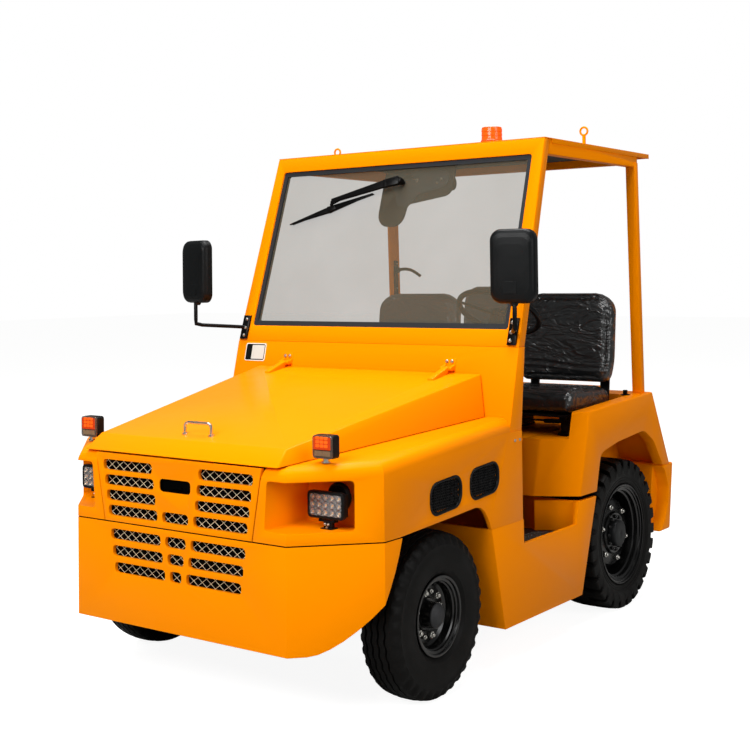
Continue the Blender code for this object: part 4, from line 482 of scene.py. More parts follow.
def lug_tread(node):
    """Lug tyre: slanted lugs on both sides, half a pitch apart, open to the shoulder, and ringed walls."""
    low, high, middle = span(node)
    radius, half = (high.z - low.z) / 2 - 0.0005, (high.x - low.x) / 2 - 0.0005
    rim = (span(node.replace("tyre", "rim"))[1].z - middle.z)
    wall = [(0.083, rim - 0.022), (0.0925, rim + 0.0015), (half * 0.93, rim + 0.008),
            (half * 0.945, rim + 0.018), (half * 0.935, rim + 0.020), (half * 0.955, rim + 0.024),
            (half * 0.965, rim + 0.030), (half * 0.955, rim + 0.032), (half * 0.975, rim + 0.036)]
    tread = [(half * share, radius - drop) for share, drop, _ in reversed(LUG_ROWS)]
    tyre = turned(f"{node}_tread", both_sides(wall + tread), middle, steps=LUGS * len(LUG_TURNS))
    pitch = tau / LUGS
    for vert in tyre.data.vertices:
        off = vert.co - middle
        reach, across = hypot(off.y, off.z), abs(off.x) / half
        near = min(LUG_ROWS, key=lambda row: abs(row[0] - across) * half + abs(radius - row[1] - reach))
        if abs(near[0] - across) * half + abs(radius - near[1] - reach) > 0.0005:
            continue
        column = round((atan2(off.z, off.y) % tau) / pitch * len(LUG_TURNS))
        lug, place = divmod(column, len(LUG_TURNS))
        turn = lug + LUG_TURNS[place] + 0.35 * across + (0.5 if off.x < 0 else 0.0)
        reach = radius - near[2 if place >= 4 else 1]
        vert.co = middle + Vector((off.x, reach * cos(turn * pitch), reach * sin(turn * pitch)))
    return smooth(tyre, 25)


def tyre_pieces():
    left, middle, other = front_tread(), span("front_tyre_left")[2], span("front_tyre_right")[2]
    right = copied(left, "front_tyre_right_tread", Matrix.Translation(other) @ Matrix.Scale(-1, 4, (1, 0, 0))
                   @ Matrix.Translation(-middle))
    left.name = "front_tyre_left_tread"
    for piece, word in ((left, "left"), (smooth(right, 25), "right")):
        fit(piece, TYRE_RUBBER, f"front_tyre_{word}", body=f"wheel_front_{word}")
    for _, word in SIDES:
        fit(lug_tread(f"rear_tyre_{word}"), TYRE_RUBBER, f"rear_tyre_{word}", body=f"wheel_rear_{word}")


tyre_pieces()


# Folded sheet panels with the soft edges that the press and the paint leave

PANEL_EDGES = {
    "front_bumper": 0.003, "grille_panel": 0.0015, "front_fender_left": 0.004, "front_fender_right": 0.004,
    "bonnet": 0.002, "cowl": 0.003, "side_step_left": 0.003, "side_step_right": 0.003, "seat_platform": 0.003,
    "rear_fender_left": 0.003, "rear_fender_right": 0.003, "rear_bumper": 0.002, "windscreen_frame": 0.004,
    "roof_frame": 0.003, "roof_panel": 0.001,
}


SEAM_Z = span("grille_panel")[0].z     # the joint that runs round the nose above the bumper
SEAM_OPEN = 0.0014                     # the edges on both sides of it draw back by this much


def panels():
    for node, width in PANEL_EDGES.items():
        sheet = cad_copy(node, f"{node}_panel")
        if node in ("front_bumper", "grille_panel", "front_fender_left", "front_fender_right"):
            for vert in sheet.data.vertices:
                if abs(vert.co.z - SEAM_Z) < 0.0004:
                    vert.co.z += SEAM_OPEN
                elif abs(vert.co.z - (SEAM_Z - 0.002)) < 0.0004:
                    vert.co.z -= SEAM_OPEN
        if node == "grille_panel":
            sheet.data.transform(Matrix.Scale(0.9945, 4, (1, 0, 0)))
        rounded_edges(sheet, width, 2, 32)
        fit(smooth(sheet, 32), ENAMEL, node, body="bonnet" if node == "bonnet" else "chassis")


panels()


def nose_seam_shade():
    """Unlit black strip in the joint above the bumper, 3 mm behind the painted faces: painted shade in the
    gap.
    """
    top = span("front_bumper")[1].z
    strip = cad_copy("front_bumper", "nose_seam_shade")
    cut_off(strip, (0, 0, top - 0.004), (0, 0, -1))
    finish_mesh(strip)
    strip.data.transform(Matrix.Translation((0, 0.003, 0.0026)) @ Matrix.Scale(0.9955, 4, (1, 0, 0)))
    fit(smooth(strip, 30), SHADOW_BLACK, slot_name="seal_rubber")


nose_seam_shade()


def deck_lip():
    """Sheet that rises to a 20 mm edge along the back of the deck behind the seats."""
    deck = span("seat_platform")[1].z
    edge = max(vert.co.y for vert in NODES["seat_platform"].data.vertices if vert.co.z > deck - 0.001)
    lip = box("deck_lip", (-0.5, edge - 0.060, deck - 0.001), (0.5, edge - 0.004, deck + 0.020))
    for vert in lip.data.vertices:
        if vert.co.z > deck and vert.co.y < edge - 0.030:
            vert.co = (vert.co.x, edge - 0.010, vert.co.z)
    fit(smooth(rounded_edges(lip, 0.001)), ENAMEL)


deck_lip()


# Rims, nuts and hub caps

def hex_nut(name, place, size, high, axis):
    """A nut with chamfered corners and the stud's end standing out of it."""
    axis = Vector(axis)
    parts = []
    for sides, radius, tall, chamfer in ((6, size / 2, high, 0.06), (14, size * 0.26, high * 1.5, 0.04)):
        part = begin(name, bpy.ops.mesh.primitive_cylinder_add, vertices=sides, radius=radius, depth=tall,
                     location=Vector(place) + axis * tall / 2)
        part.rotation_euler = UP.rotation_difference(axis).to_euler()
        parts.append(rounded_edges(settle(part), size * chamfer, 1, 50))
    return joined(name, parts)


def bolt_circle(name, centre, radius, count, size, high, axis, phase):
    """One nut, copied round an axle; the phase in degrees turns the whole ring."""
    first = hex_nut(name, centre + Vector((0, 0, radius)), size, high, axis)
    ring = [first]
    for k in range(1, count):
        ring.append(copied(first, f"{name}_{k}", about(centre, Matrix.Rotation(tau * k / count, 4, axis))))
    whole = joined(name, ring)
    whole.data.transform(about(centre, Matrix.Rotation(radians(phase), 4, axis)))
    return smooth(whole, 30)


# dish of each rim: outwards from the wheel's middle, radius
FRONT_DISH = mm((-66, 148.5), (-75, 146.5), (-75.5, 136), (-60, 122), (6, 120), (10, 48), (60, 47),
                (60, 23.5), (59.5, 23.5), (59, 46), (18, 49), (20, 58), (14, 64), (15, 106), (24, 116),
                (52, 121), (56, 126), (64, 127), (66, 136), (73.5, 138), (75.5, 143), (74.5, 147.5),
                (66, 148.5), (56, 130.5), (-56, 130.5))
REAR_DISH = mm((-92, 229), (-101, 227), (-101.5, 216), (-84, 196), (-22, 194), (-18, 55), (-60, 54),
               (-60, 32.5), (60, 32.5), (60, 92), (54, 96), (46, 98), (44, 104), (44, 146), (40, 152),
               (0, 158), (-6, 166), (-4, 180), (6, 188), (60, 191.5), (64, 199), (82, 200), (86, 210),
               (92.5, 211), (94.5, 215), (92.5, 217), (93.5, 222), (100.5, 222), (101.5, 225.5), (100, 229),
               (92, 229), (82, 205.5), (-82, 205.5))
# caps over the hubs, in the same way
FRONT_CAP = mm((59.5, 1), (59.5, 45), (64, 45), (69, 38), (76, 30), (80, 18), (81.5, 1))
REAR_CAP = mm((59.8, 1), (59.8, 62), (72, 61), (84, 60), (86.5, 58), (88, 54), (88, 10), (87.2, 7), (87.2, 1))


def rims():
    for side, word in SIDES:
        body, middle, axis = f"wheel_front_{word}", span(f"front_tyre_{word}")[2], Vector((side, 0, 0))
        dish = turned(f"front_rim_{word}_dish", FRONT_DISH, middle, axis, 72)
        fit(dish, RIM_ENAMEL, f"front_rim_{word}", body=body)
        face = middle + axis * 0.0148
        for stem, size, high, phase in (("front_wheel_nuts", 0.029, 0.014, 14),
                                        ("front_rim_bolts", 0.019, 0.010, 44)):
            nuts = bolt_circle(f"{stem}_{word}", face, 0.083, 6, size, high, axis, phase)
            fit(nuts, DULL_STEEL, body=body)
        cap = turned(f"front_hub_cap_{word}", FRONT_CAP, middle, axis, 36)
        fit(cap, CASTING, body=body, slot_name="paint_black")
    for side, word in SIDES:
        body, middle, axis = f"wheel_rear_{word}", span(f"rear_tyre_{word}")[2], Vector((side, 0, 0))
        dish = turned(f"rear_rim_{word}_dish", REAR_DISH, middle, axis, 72)
        fit(dish, RIM_ENAMEL, f"rear_rim_{word}", body=body)
        nuts = bolt_circle(f"rear_wheel_nuts_{word}", middle + axis * 0.0438, 0.125, 6, 0.028, 0.014, axis,
                           14)
        fit(nuts, DULL_STEEL, body=body)
        ring = bolt_circle(f"rear_hub_bolts_{word}", middle + axis * 0.0598, 0.076, 12, 0.019, 0.009, axis, 0)
        fit(ring, RIM_ENAMEL, body=body)
        fit(turned(f"rear_hub_cap_{word}", REAR_CAP, middle, axis, 48), HUB_GREY, body=body)


rims()


# Seats

# how a pad is drawn in, remeshed and pressed out, how far its points may move and how far a seam reaches
PAD_SHRINK, PAD_VOXEL, PAD_PRESSURE, PAD_SWELL, SEAM_REACH = 0.009, 0.006, 4.0, 0.014, 0.05


def swell(piece):
    """Foam under its cover, pressed outwards with cloth; each point's move is kept outward and short."""
    modify(piece, "REMESH", mode="VOXEL", voxel_size=PAD_VOXEL)
    start = [(vert.co.copy(), vert.normal.copy()) for vert in piece.data.vertices]
    take(piece)
    cloth = piece.modifiers.new("cover", "CLOTH")
    cloth.settings.use_pressure = True
    cloth.settings.uniform_pressure_force = PAD_PRESSURE
    cloth.settings.effector_weights.gravity = 0.0
    cloth.point_cache.frame_start, cloth.point_cache.frame_end = 1, 20
    for number in range(1, 21):
        bpy.context.scene.frame_set(number)
    bpy.ops.object.modifier_apply(modifier=cloth.name)
    bpy.context.scene.frame_set(1)
    for vert, (rest, out) in zip(piece.data.vertices, start):
        step = vert.co - rest
        step -= out * min(0.0, step.dot(out))
        vert.co = rest + step
        if step.length > PAD_SWELL:
            vert.co = rest + step * (PAD_SWELL / step.length)
    return piece


def groove(piece, line, deep, wide):
    """Press a seam into the surface along a line of points."""
    stretches = list(zip(line, line[1:]))
    for vert in piece.data.vertices:
        near = 9.0
        for a, b in stretches:
            along = b - a
            share = max(0.0, min(1.0, (vert.co - a).dot(along) / along.length_squared))
            near = min(near, (vert.co - a - along * share).length)
        if near < SEAM_REACH:
            vert.co -= vert.normal * deep * exp(-(near / wide) ** 2)


def seat_pad(node):
    """The pad inside its CAD solid, drawn in so that it can swell."""
    low, high, middle = span(node)
    pad = cad_copy(node, f"{node}_pad")
    scale = Matrix.Diagonal([1 - 2 * PAD_SHRINK / (high[i] - low[i]) for i in range(3)]).to_4x4()
    pad.data.transform(about(middle, scale))
    return swell(pad)


def back_seams(pad, low, high, front_y, lean):
    """Stitched panel on the back: an outer frame and two rows across."""
    inset_x, top, foot = 0.085, high.z - 0.085, low.z + 0.10

    def at(x, z):
        return Vector((x, front_y + lean * (z - low.z), z))
    x0, x1 = low.x + inset_x, high.x - inset_x
    groove(pad, [at(x0, foot), at(x1, foot), at(x1, top), at(x0, top), at(x0, foot)], 0.0035, 0.007)
    for share in (0.36, 0.68):
        z = foot + (top - foot) * share
        groove(pad, [at(x0 + 0.02, z), at(x1 - 0.02, z)], 0.0022, 0.006)


FILM_FOLDS = 26                        # creases that fan out from the foot of the back


def film_creases(pad, low, front_y):
    """Loose film over the back: a fan of sharp folds from a lower corner, and two deep ones at the foot."""
    hub = Vector((low.x - 0.10, front_y, low.z + 0.06))
    for vert in pad.data.vertices:
        if vert.normal.y > -0.3:
            continue
        off = vert.co - hub
        reach, turn = hypot(off.x, off.z), atan2(off.z, off.x)
        fade = exp(-((reach - 0.26) / 0.17) ** 2)
        wave = noise.noise(Vector((turn * FILM_FOLDS / 2.2, reach * 1.6, 0.3)))
        lift = 0.0065 * max(0.0, 0.5 - abs(wave) * 4.0) * fade
        height = vert.co.z - low.z - 0.075 - 0.03 * sin(9 * off.x) * 0.4
        for line, deep in ((0.0, 0.006), (0.030, 0.004)):
            lift += deep * exp(-((height - line) / 0.007) ** 2)
        vert.co.y -= lift


def round_top(pad, low, high):
    """Draw the back's sides in over its top 110 mm, and a little at its foot."""
    middle, round_z = (low.x + high.x) / 2, 0.11
    for vert in pad.data.vertices:
        up = max(0.0, (vert.co.z - (high.z - round_z)) / round_z)
        down = max(0.0, (low.z + 0.14 - vert.co.z) / 0.14)
        share = 1 - 0.25 * (1 - sqrt(max(0.0, 1 - min(1.0, up) ** 2))) - 0.10 * down ** 2
        vert.co.x = middle + (vert.co.x - middle) * share


def cushion_seams(pad, low, high):
    inset, top = 0.080, high.z - 0.004

    def at(x, y):
        return Vector((x, y, top))
    x0, x1, y0, y1 = low.x + inset, high.x - inset, low.y + inset, high.y - 0.06
    groove(pad, [at(x0, y0), at(x1, y0), at(x1, y1), at(x0, y1), at(x0, y0)], 0.005, 0.006)
    for vert in pad.data.vertices:
        if vert.normal.y < 0.2:
            crumple = noise.noise(Vector((vert.co.x * 55, vert.co.y * 24, vert.co.z * 30)))
            vert.co += vert.normal * 0.0035 * max(0.0, 0.35 - abs(crumple) * 2.5)
    groove(pad, [at(x0, (y0 + y1) / 2), at(x1, (y0 + y1) / 2)], 0.005, 0.006)


def seats():
    for part in ("back", "cushion"):
        left = f"seat_{part}_left"
        low, high, middle = span(left)
        pad = seat_pad(left)
        if part == "back":
            lean = (high.y - low.y - 0.075) / (high.z - low.z)
            round_top(pad, low, high)
            back_seams(pad, low, high, low.y + 0.004, lean)
            film_creases(pad, low, low.y + 0.004)
        else:
            cushion_seams(pad, low, high)
        modify(pad, "SUBSURF", levels=1, render_levels=1)
        for word in ("middle", "right"):
            node = f"seat_{part}_{word}"
            to_low, to_high, to_middle = span(node)
            scale = Matrix.Diagonal([(to_high[i] - to_low[i]) / (high[i] - low[i])
                                     for i in range(3)]).to_4x4()
            twin = copied(pad, f"{node}_pad", Matrix.Translation(to_middle) @ scale
                          @ Matrix.Translation(-middle))
            finish_pad(twin, node)
        finish_pad(pad, left)


def finish_pad(pad, node):
    smooth(pad, 60)
    # the middle and right seats wear the lighter copy, whose grey is painted film highlight
    fit(pad, VINYL if node.endswith("left") else FILM_SHEEN_VINYL, node)


seats()


# Modelling steps for cases, bars and recessed faces

def station(distance):
    """World Y of a distance behind the bumper's front face."""
    return NOSE_Y + distance


def case(name, low, high, corner, edge=0.0, axis=1, steps=4):
    """A block with four round corners along one axis and a small rounding on its other edges."""
    piece = box(name, low, high)
    pick(piece, "EDGE", lambda middle, along: abs(along[axis]) > 0.9)
    bpy.ops.mesh.bevel(offset=corner, segments=steps)
    leave()
    if edge:
        rounded_edges(piece, edge, 2, 40)
    return smooth(piece)


def sink_face(piece, test, rim, step):
    """Inset the chosen face and push it in or out."""
    pick(piece, "FACE", test)
    bpy.ops.mesh.inset(thickness=rim)
    extrude(step)
    leave()
    return piece


def bar(name, start, end, wide, thick, taper=1.0, up=UP, edge=0.0):
    """A flat bar from one point to another; its far end is narrowed by the taper."""
    start, end = Vector(start), Vector(end)
    along = (end - start).normalized()
    across = along.cross(up).normalized()
    turn = Matrix((across, along, across.cross(along))).transposed()
    piece = begin(name, bpy.ops.mesh.primitive_cube_add, size=1, location=(start + end) / 2)
    piece.rotation_euler = turn.to_euler()
    piece.scale = (wide, (end - start).length, thick)
    settle(piece)
    if taper != 1.0:
        pick(piece, "FACE", lambda middle, normal: normal.dot(along) > 0.9)
        bpy.ops.transform.resize(value=(taper, taper, taper), center_override=end)
        leave()
    if edge:
        rounded_edges(piece, edge, 2, 30)
    return smooth(piece)


def tube(name, points, radius):
    """A round bar along a smooth line through points, with closed ends."""
    clear()
    path = bpy.data.curves.new(name, "CURVE")
    path.dimensions = "3D"
    path.resolution_u = 4
    path.bevel_depth = radius
    path.bevel_resolution = 2
    path.use_fill_caps = True
    line = path.splines.new("NURBS")
    line.points.add(len(points) - 1)
    for knot, place in zip(line.points, points):
        knot.co = (*place, 1.0)
    line.order_u = 3
    line.use_endpoint_u = True
    piece = bpy.data.objects.new(name, path)
    bpy.context.scene.collection.objects.link(piece)
    take(piece)
    bpy.ops.object.convert(target="MESH")
    return smooth(finish_mesh(bpy.context.active_object), 60)


def pair(left, stem, material, angle=35, node=None):
    """Finish a left piece, or a list that is joined, and its mirrored copy; node is the stem they replace."""
    if isinstance(left, list):
        left = joined(stem, left)
    right = copied(left, f"{stem}_right", Matrix.Scale(-1, 4, (1, 0, 0)))
    take(right)
    left.name = f"{stem}_left"
    for piece, word in ((smooth(left, angle), "left"), (smooth(right, angle), "right")):
        fit(piece, material, *([f"{node}_{word}"] if node else []))


# Wire mesh behind the slots

def grille_mesh():
    """Welded diamond mesh in two layers in front of an unlit black sheet that is painted shade behind the
    mesh.
    """
    low, high, middle = span("grille_screen")
    wire, pitch, lean = 0.0016, 0.0246, radians(55)
    layers = []
    for turn, depth in ((lean, 0.0011), (-lean, 0.0029)):
        step = pitch / cos(lean)
        reach = (high.z - low.z) * tan(lean) / 2 + (high.x - low.x) / 2
        count = int(2 * reach / step) + 2
        strand = begin("mesh_strand", bpy.ops.mesh.primitive_cylinder_add, vertices=6, radius=wire / 2,
                       depth=(high.z - low.z) / cos(lean) + 0.04,
                       location=(-reach, low.y + depth, middle.z), rotation=(0, turn, 0))
        settle(strand)
        repeated(strand, count, (step, 0, 0))
        layers.append(strand)
    mesh = joined("grille_wire", layers)
    for place, normal in ((low, (-1, 0, 0)), (high, (1, 0, 0)), (low, (0, 0, -1)), (high, (0, 0, 1))):
        cut_off(mesh, place, normal)
    fit(smooth(mesh, 70), MESH_WIRE, "grille_screen")
    # latch well in the top centre opening: a shallow tray with a finger lip; the tray in unlit black is
    # painted shade in the opening, and the lip is unlit black too
    front = span("grille_panel")[0].y
    well = case("latch_well", (-0.0795, front + 0.004, 0.7765), (0.0795, front + 0.0155, 0.8235), 0.0145)
    sink_face(well, lambda middle, normal: normal.y < -0.9, 0.003, (0, 0.009, 0))
    lip = case("latch_lip", (-0.030, front + 0.005, 0.790), (0.030, front + 0.0125, 0.797), 0.003, 0.001)
    fit(smooth(joined("grille_latch", [well, lip])), SHADOW_BLACK)
    # unlit black sheet: painted shade behind the wire mesh
    sheet = box("grille_shade_sheet", (low.x, low.y + 0.0041, low.z), (high.x, low.y + 0.0052, high.z), 0.0004)
    fit(sheet, SHADOW_BLACK, slot_name="paint_black")


# Side vents

VENTS = ((0.640, 0.746), (0.915, 0.764))      # station and height of each middle
VENT_LONG, VENT_HIGH = 0.110, 0.063           # half-length and half-height
VENT_CLIMB, VENT_CORNER = 0.008, 0.052        # rise over the half-length, corner radius


def vent_outline(s, z, shrink):
    """Points round a vent as (station, height), drawn in by a distance."""
    long, high = VENT_LONG - shrink, VENT_HIGH - shrink
    radius = VENT_CORNER - shrink
    points = []
    for cx, cz, start in ((1, 1, 0), (-1, 1, 90), (-1, -1, 180), (1, -1, 270)):
        for k in range(9):
            a = radians(start + 11.25 * k)
            x, y = cx * (long - radius) + radius * cos(a), cz * (high - radius) + radius * sin(a)
            points.append((s + x, z + y + x / VENT_LONG * VENT_CLIMB))
    return points


def vent(index, s, z):
    """Moulded frame with a raised lip round a honeycomb."""
    face = span("front_fender_left")[1].x
    rings = mm((0.5, -9), (0.5, 1.5), (2, 3), (6, 3), (9, 1), (10.5, -4), (10.5, -9))
    frame_piece = begin(f"vent_frame_{index}", bpy.ops.mesh.primitive_circle_add, vertices=36, radius=0.1,
                        fill_type="NOTHING")
    for vert, (a, b) in zip(frame_piece.data.vertices, vent_outline(s, z, rings[0][0])):
        vert.co = (face + rings[0][1], station(a), b)
    pick(frame_piece, "VERT", every)
    for _ in rings[1:]:
        extrude((0, 0, 0))
    leave()
    for ring_index, (shrink, out) in enumerate(rings):
        for k, (a, b) in enumerate(vent_outline(s, z, shrink)):
            frame_piece.data.vertices[ring_index * 36 + k].co = (face + out, station(a), b)
    pick(frame_piece, "EDGE", lambda middle, along: abs(middle.x - face + 0.009) < 0.0001)
    bpy.ops.mesh.bridge_edge_loops()
    leave()
    finish_mesh(frame_piece)
    pair(frame_piece, f"vent_frame_{index}", ABS_BLACK, 50)

    # honeycomb of 12 mm cells behind the frame, trimmed to its outline
    cell = 0.0068
    wide, row = cell * sqrt(3), cell * 1.5
    comb = begin("comb", bpy.ops.mesh.primitive_circle_add, vertices=6, radius=cell, fill_type="NGON",
                 location=(0, 0, 0), rotation=(0, pi / 2, 0))
    settle(comb)
    start = Vector((face - 0.006, station(s - VENT_LONG), z - VENT_HIGH))
    columns, rows = int(2 * VENT_LONG / wide) + 2, int(2 * VENT_HIGH / row / 2) + 2
    repeated(comb, columns, (0, wide, 0))
    repeated(comb, rows, (0, 0, 2 * row))
    shifted = copied(comb, "comb_shifted", Matrix.Translation((0, wide / 2, row)))
    comb = joined(f"vent_comb_{index}", [comb, shifted])
    comb.data.transform(Matrix.Translation(start))
    finish_mesh(comb)
    long, high = VENT_LONG - 0.006, VENT_HIGH - 0.006

    def outside(middle, normal):
        a = middle.y - station(s)
        b = middle.z - z - a / VENT_LONG * VENT_CLIMB
        over_a, over_b = abs(a) - (long - VENT_CORNER + 0.006), abs(b) - (high - VENT_CORNER + 0.006)
        if over_a > 0 and over_b > 0:
            return hypot(over_a, over_b) > VENT_CORNER - 0.006
        return abs(a) > long or abs(b) > high
    pick(comb, "FACE", outside)
    bpy.ops.mesh.delete(type="FACE")
    bpy.ops.mesh.select_all(action="SELECT")
    bpy.ops.mesh.normals_make_consistent(inside=False)
    bpy.ops.mesh.inset(thickness=0.0012, use_individual=True)
    leave()
    pick(comb, "FACE", every)
    shape = bmesh.from_edit_mesh(comb.data)
    for face_item in shape.faces:
        face_item.select_set(len(face_item.verts) == 6)
    bmesh.update_edit_mesh(comb.data)
    bpy.ops.mesh.delete(type="ONLY_FACE")
    leave()
    modify(comb, "SOLIDIFY", thickness=0.0035, offset=-1.0)
    finish_mesh(comb)
    pair(comb, f"vent_comb_{index}", COMB_BLACK, 40)
    # an unlit black sheet behind the honeycomb: painted shade inside the vent
    well = box(f"vent_well_{index}", (face - 0.0099, station(s) - VENT_LONG * 0.86, z - VENT_HIGH * 0.80),
               (face - 0.0094, station(s) + VENT_LONG * 0.86, z + VENT_HIGH * 0.80))
    pair(well, f"vent_well_{index}", SHADOW_BLACK)


# Lamps

def headlamps():
    """Work lamp of fifteen small reflectors in a finned case on a bracket."""
    low, high = span("headlamp_left")[:2]
    x0, x1, y0, y1, z0, z1 = low.x, high.x, low.y, high.y, high.z - 0.095, high.z
    body = case("lamp_case", (x0 + 0.001, y0 + 0.002, z0), (x1 - 0.001, y0 + 0.022, z1), 0.016, 0.0025, 1, 5)
    sink_face(body, lambda m, n: n.y < -0.95 and m.y < y0 + 0.003, 0.007, (0, 0.010, 0))
    pair(rounded_edges(body, 0.0008, 1, 40), "lamp_case", ABS_BLACK, 35, "headlamp")
    fins = box("fin", (x0 + 0.008, y0 + 0.021, z0 + 0.008), (x0 + 0.0105, y1, z1 - 0.008), 0.0008, 1)
    repeated(fins, 13, ((x1 - x0 - 0.0185) / 12, 0, 0))
    core = box("core", (x0 + 0.006, y0 + 0.020, z0 + 0.006), (x1 - 0.006, y0 + 0.026, z1 - 0.006), 0.002)
    pair([fins, core], "lamp_fins", ABS_BLACK)
    columns, rows = 5, 3
    wide, tall = (x1 - x0 - 0.018) / columns, (z1 - z0 - 0.018) / rows
    bowls, chips = [], []
    for i in range(columns):
        for j in range(rows):
            at = Vector((x0 + 0.009 + wide * (i + 0.5), y0 + 0.011, z0 + 0.009 + tall * (j + 0.5)))
            bowls.append(turned(f"bowl_{i}{j}", mm((0, 0.6), (0, 12.5), (7.5, 13), (7.8, 12), (4, 8.5),
                                                   (1.8, 4.5), (1.2, 0.6)), at, (0, -1, 0), 16))
            chips.append(case(f"chip_{i}{j}", at + Vector((-0.0035, -0.0040, -0.0035)),
                              at + Vector((0.0035, -0.0005, 0.0035)), 0.0012, 0.0, 1, 1))
    pair(bowls, "lamp_bowls", REFLECTOR, 40)
    pair(chips, "lamp_chips", LED_CHIP)
    cover = case("lamp_cover", (x0 + 0.0075, y0 + 0.0035, z0 + 0.0065),
                 (x1 - 0.0075, y0 + 0.0045, z1 - 0.0065), 0.010)
    pair(cover, "lamp_cover", COVER_GLASS)
    # bracket: stirrup under the case, foot with two bolts on the pocket's floor
    mid = (x0 + x1) / 2
    foot = low.z
    parts = boxes(mid, y0, (
        ("stirrup", (-0.036, 0.010, z0 - 0.012), (0.036, 0.032, z0 - 0.006), 0.0012),
        ("cheek_a", (-0.036, 0.010, z0 - 0.012), (-0.031, 0.032, z0 + 0.006), 0.0012),
        ("cheek_b", (0.031, 0.010, z0 - 0.012), (0.036, 0.032, z0 + 0.006), 0.0012),
        ("pedestal", (-0.016, 0.012, foot), (0.020, 0.030, z0 - 0.010), 0.002),
        ("toe", (-0.024, 0.004, foot), (0.028, 0.038, foot + 0.004), 0.001)))
    pair(parts, "lamp_bracket", ABS_BLACK)
    bolts = [hex_nut("lamp_bolt", (mid + dx, y0 + 0.009, z0 - 0.019), 0.011, 0.005, (0, -1, 0))
             for dx in (-0.004, 0.010)]
    bolts.append(hex_nut("lamp_toe_bolt", (mid + 0.002, y0 + 0.008, foot + 0.004), 0.010, 0.004, (0, 0, 1)))
    pair(bolts, "lamp_bolts", ZINC, 30)


def horn():
    """Disc horn with a stepped diaphragm ring."""
    low, high, middle = span("horn")
    r = (high.z - low.z) / 2
    profile = ((0.0, 0.001), (0.0, 0.018), (-0.003, 0.020), (-0.003, 0.031), (0.002, 0.034),
               (0.004, r - 0.008), (0.0, r - 0.003), (-0.005, r), (-0.011, r), (-0.014, r - 0.004),
               (-0.021, 0.038), (-0.024, 0.020), (-0.046, 0.018), (-0.046, 0.001))
    centre = Vector((middle.x, low.y + 0.004, middle.z))
    piece = turned("horn_disc", profile, centre, (0, -1, 0), 48)
    fit(piece, ABS_BLACK, "horn")


def turn_lamps():
    """Square lamp: black back, smoked bezel, amber window over a ribbed clear strip."""
    low, high, middle = span("turn_lamp_left")
    z0, z1 = high.z - 0.082, high.z
    x0, x1, y0, y1 = low.x, high.x, low.y, high.y
    back = case("turn_lamp_back", (x0, y0 + 0.013, z0), (x1, y1, z1), 0.011, 0.004, 1, 5)
    pair(back, "turn_lamp_back", ABS_BLACK, 35, "turn_lamp")
    bezel = case("turn_lamp_bezel", (x0 + 0.0005, y0 + 0.0025, z0 + 0.0005),
                 (x1 - 0.0005, y0 + 0.0125, z1 - 0.0005), 0.011, 0.003, 1, 5)
    sink_face(bezel, lambda m, n: n.y < -0.95 and m.y < y0 + 0.004, 0.004, (0, 0.006, 0))
    pair(bezel, "turn_lamp_bezel", BEZEL)
    split = z0 + 0.031
    window = case("turn_lamp_window", (x0 + 0.006, y0 + 0.0015, split), (x1 - 0.006, y0 + 0.009, z1 - 0.006),
                  0.004, 0.0015, 1, 3)
    pair(window, "turn_lamp_window", AMBER_LENS)
    cells = []
    for i in range(3):
        for j in range(3):
            x, z = x0 + 0.017 + 0.0185 * i, split + 0.0085 + 0.0135 * j
            cells.append(case(f"cell_{i}{j}", (x, y0 + 0.0006, z), (x + 0.016, y0 + 0.003, z + 0.011), 0.002,
                              0.0006, 1, 2))
    pair(cells, "turn_lamp_cells", AMBER_GLOW)
    strip = begin("turn_lamp_rib", bpy.ops.mesh.primitive_cylinder_add, vertices=10, radius=0.0035,
                  depth=0.019, location=(x0 + 0.0105, y0 + 0.008, z0 + 0.018))
    settle(strip)
    repeated(strip, 10, ((x1 - x0 - 0.021) / 9, 0, 0))
    pair(strip, "turn_lamp_ribs", CLEAR_RIBS, 40)
    washer = turned("turn_lamp_washer", mm((0, 4), (0, 17), (2.5, 17), (4, 15), (4, 11), (16, 11), (18, 4)),
                    Vector((middle.x, (y0 + y1) / 2, low.z + 0.004)), (0, 0, 1), 28)
    pair(washer, "turn_lamp_stud", ZINC)


def beacon():
    """Amber beacon: base, three stacked lens bands and a flat cap."""
    low, high, middle = span("beacon")
    base = Vector((middle.x, middle.y, low.z))
    top = high.z - low.z
    foot = turned("beacon_foot", mm((0, 1), (0, 50), (9, 50), (12.5, 47.5), (12.5, 1)), base,
                  (0, 0, 1), 48)
    fit(foot, BEACON_FOOT)
    outline = [(0.0126, 0.001), (0.0126, 0.0465)]
    step = (top - 0.0126 - 0.004) / 3
    for k in range(3):
        z = 0.0126 + step * k
        outline += [(z + 0.001, 0.0465), (z + step - 0.0028, 0.0455), (z + step - 0.0018, 0.0438),
                    (z + step - 0.0004, 0.0438)]
    outline += [(top - 0.003, 0.0445), (top - 0.0006, 0.042), (top, 0.038), (top, 0.001)]
    lens_piece = turned("beacon_lens", outline, base, (0, 0, 1), 64)
    fit(lens_piece, BEACON_LENS, "beacon")


# Mirrors

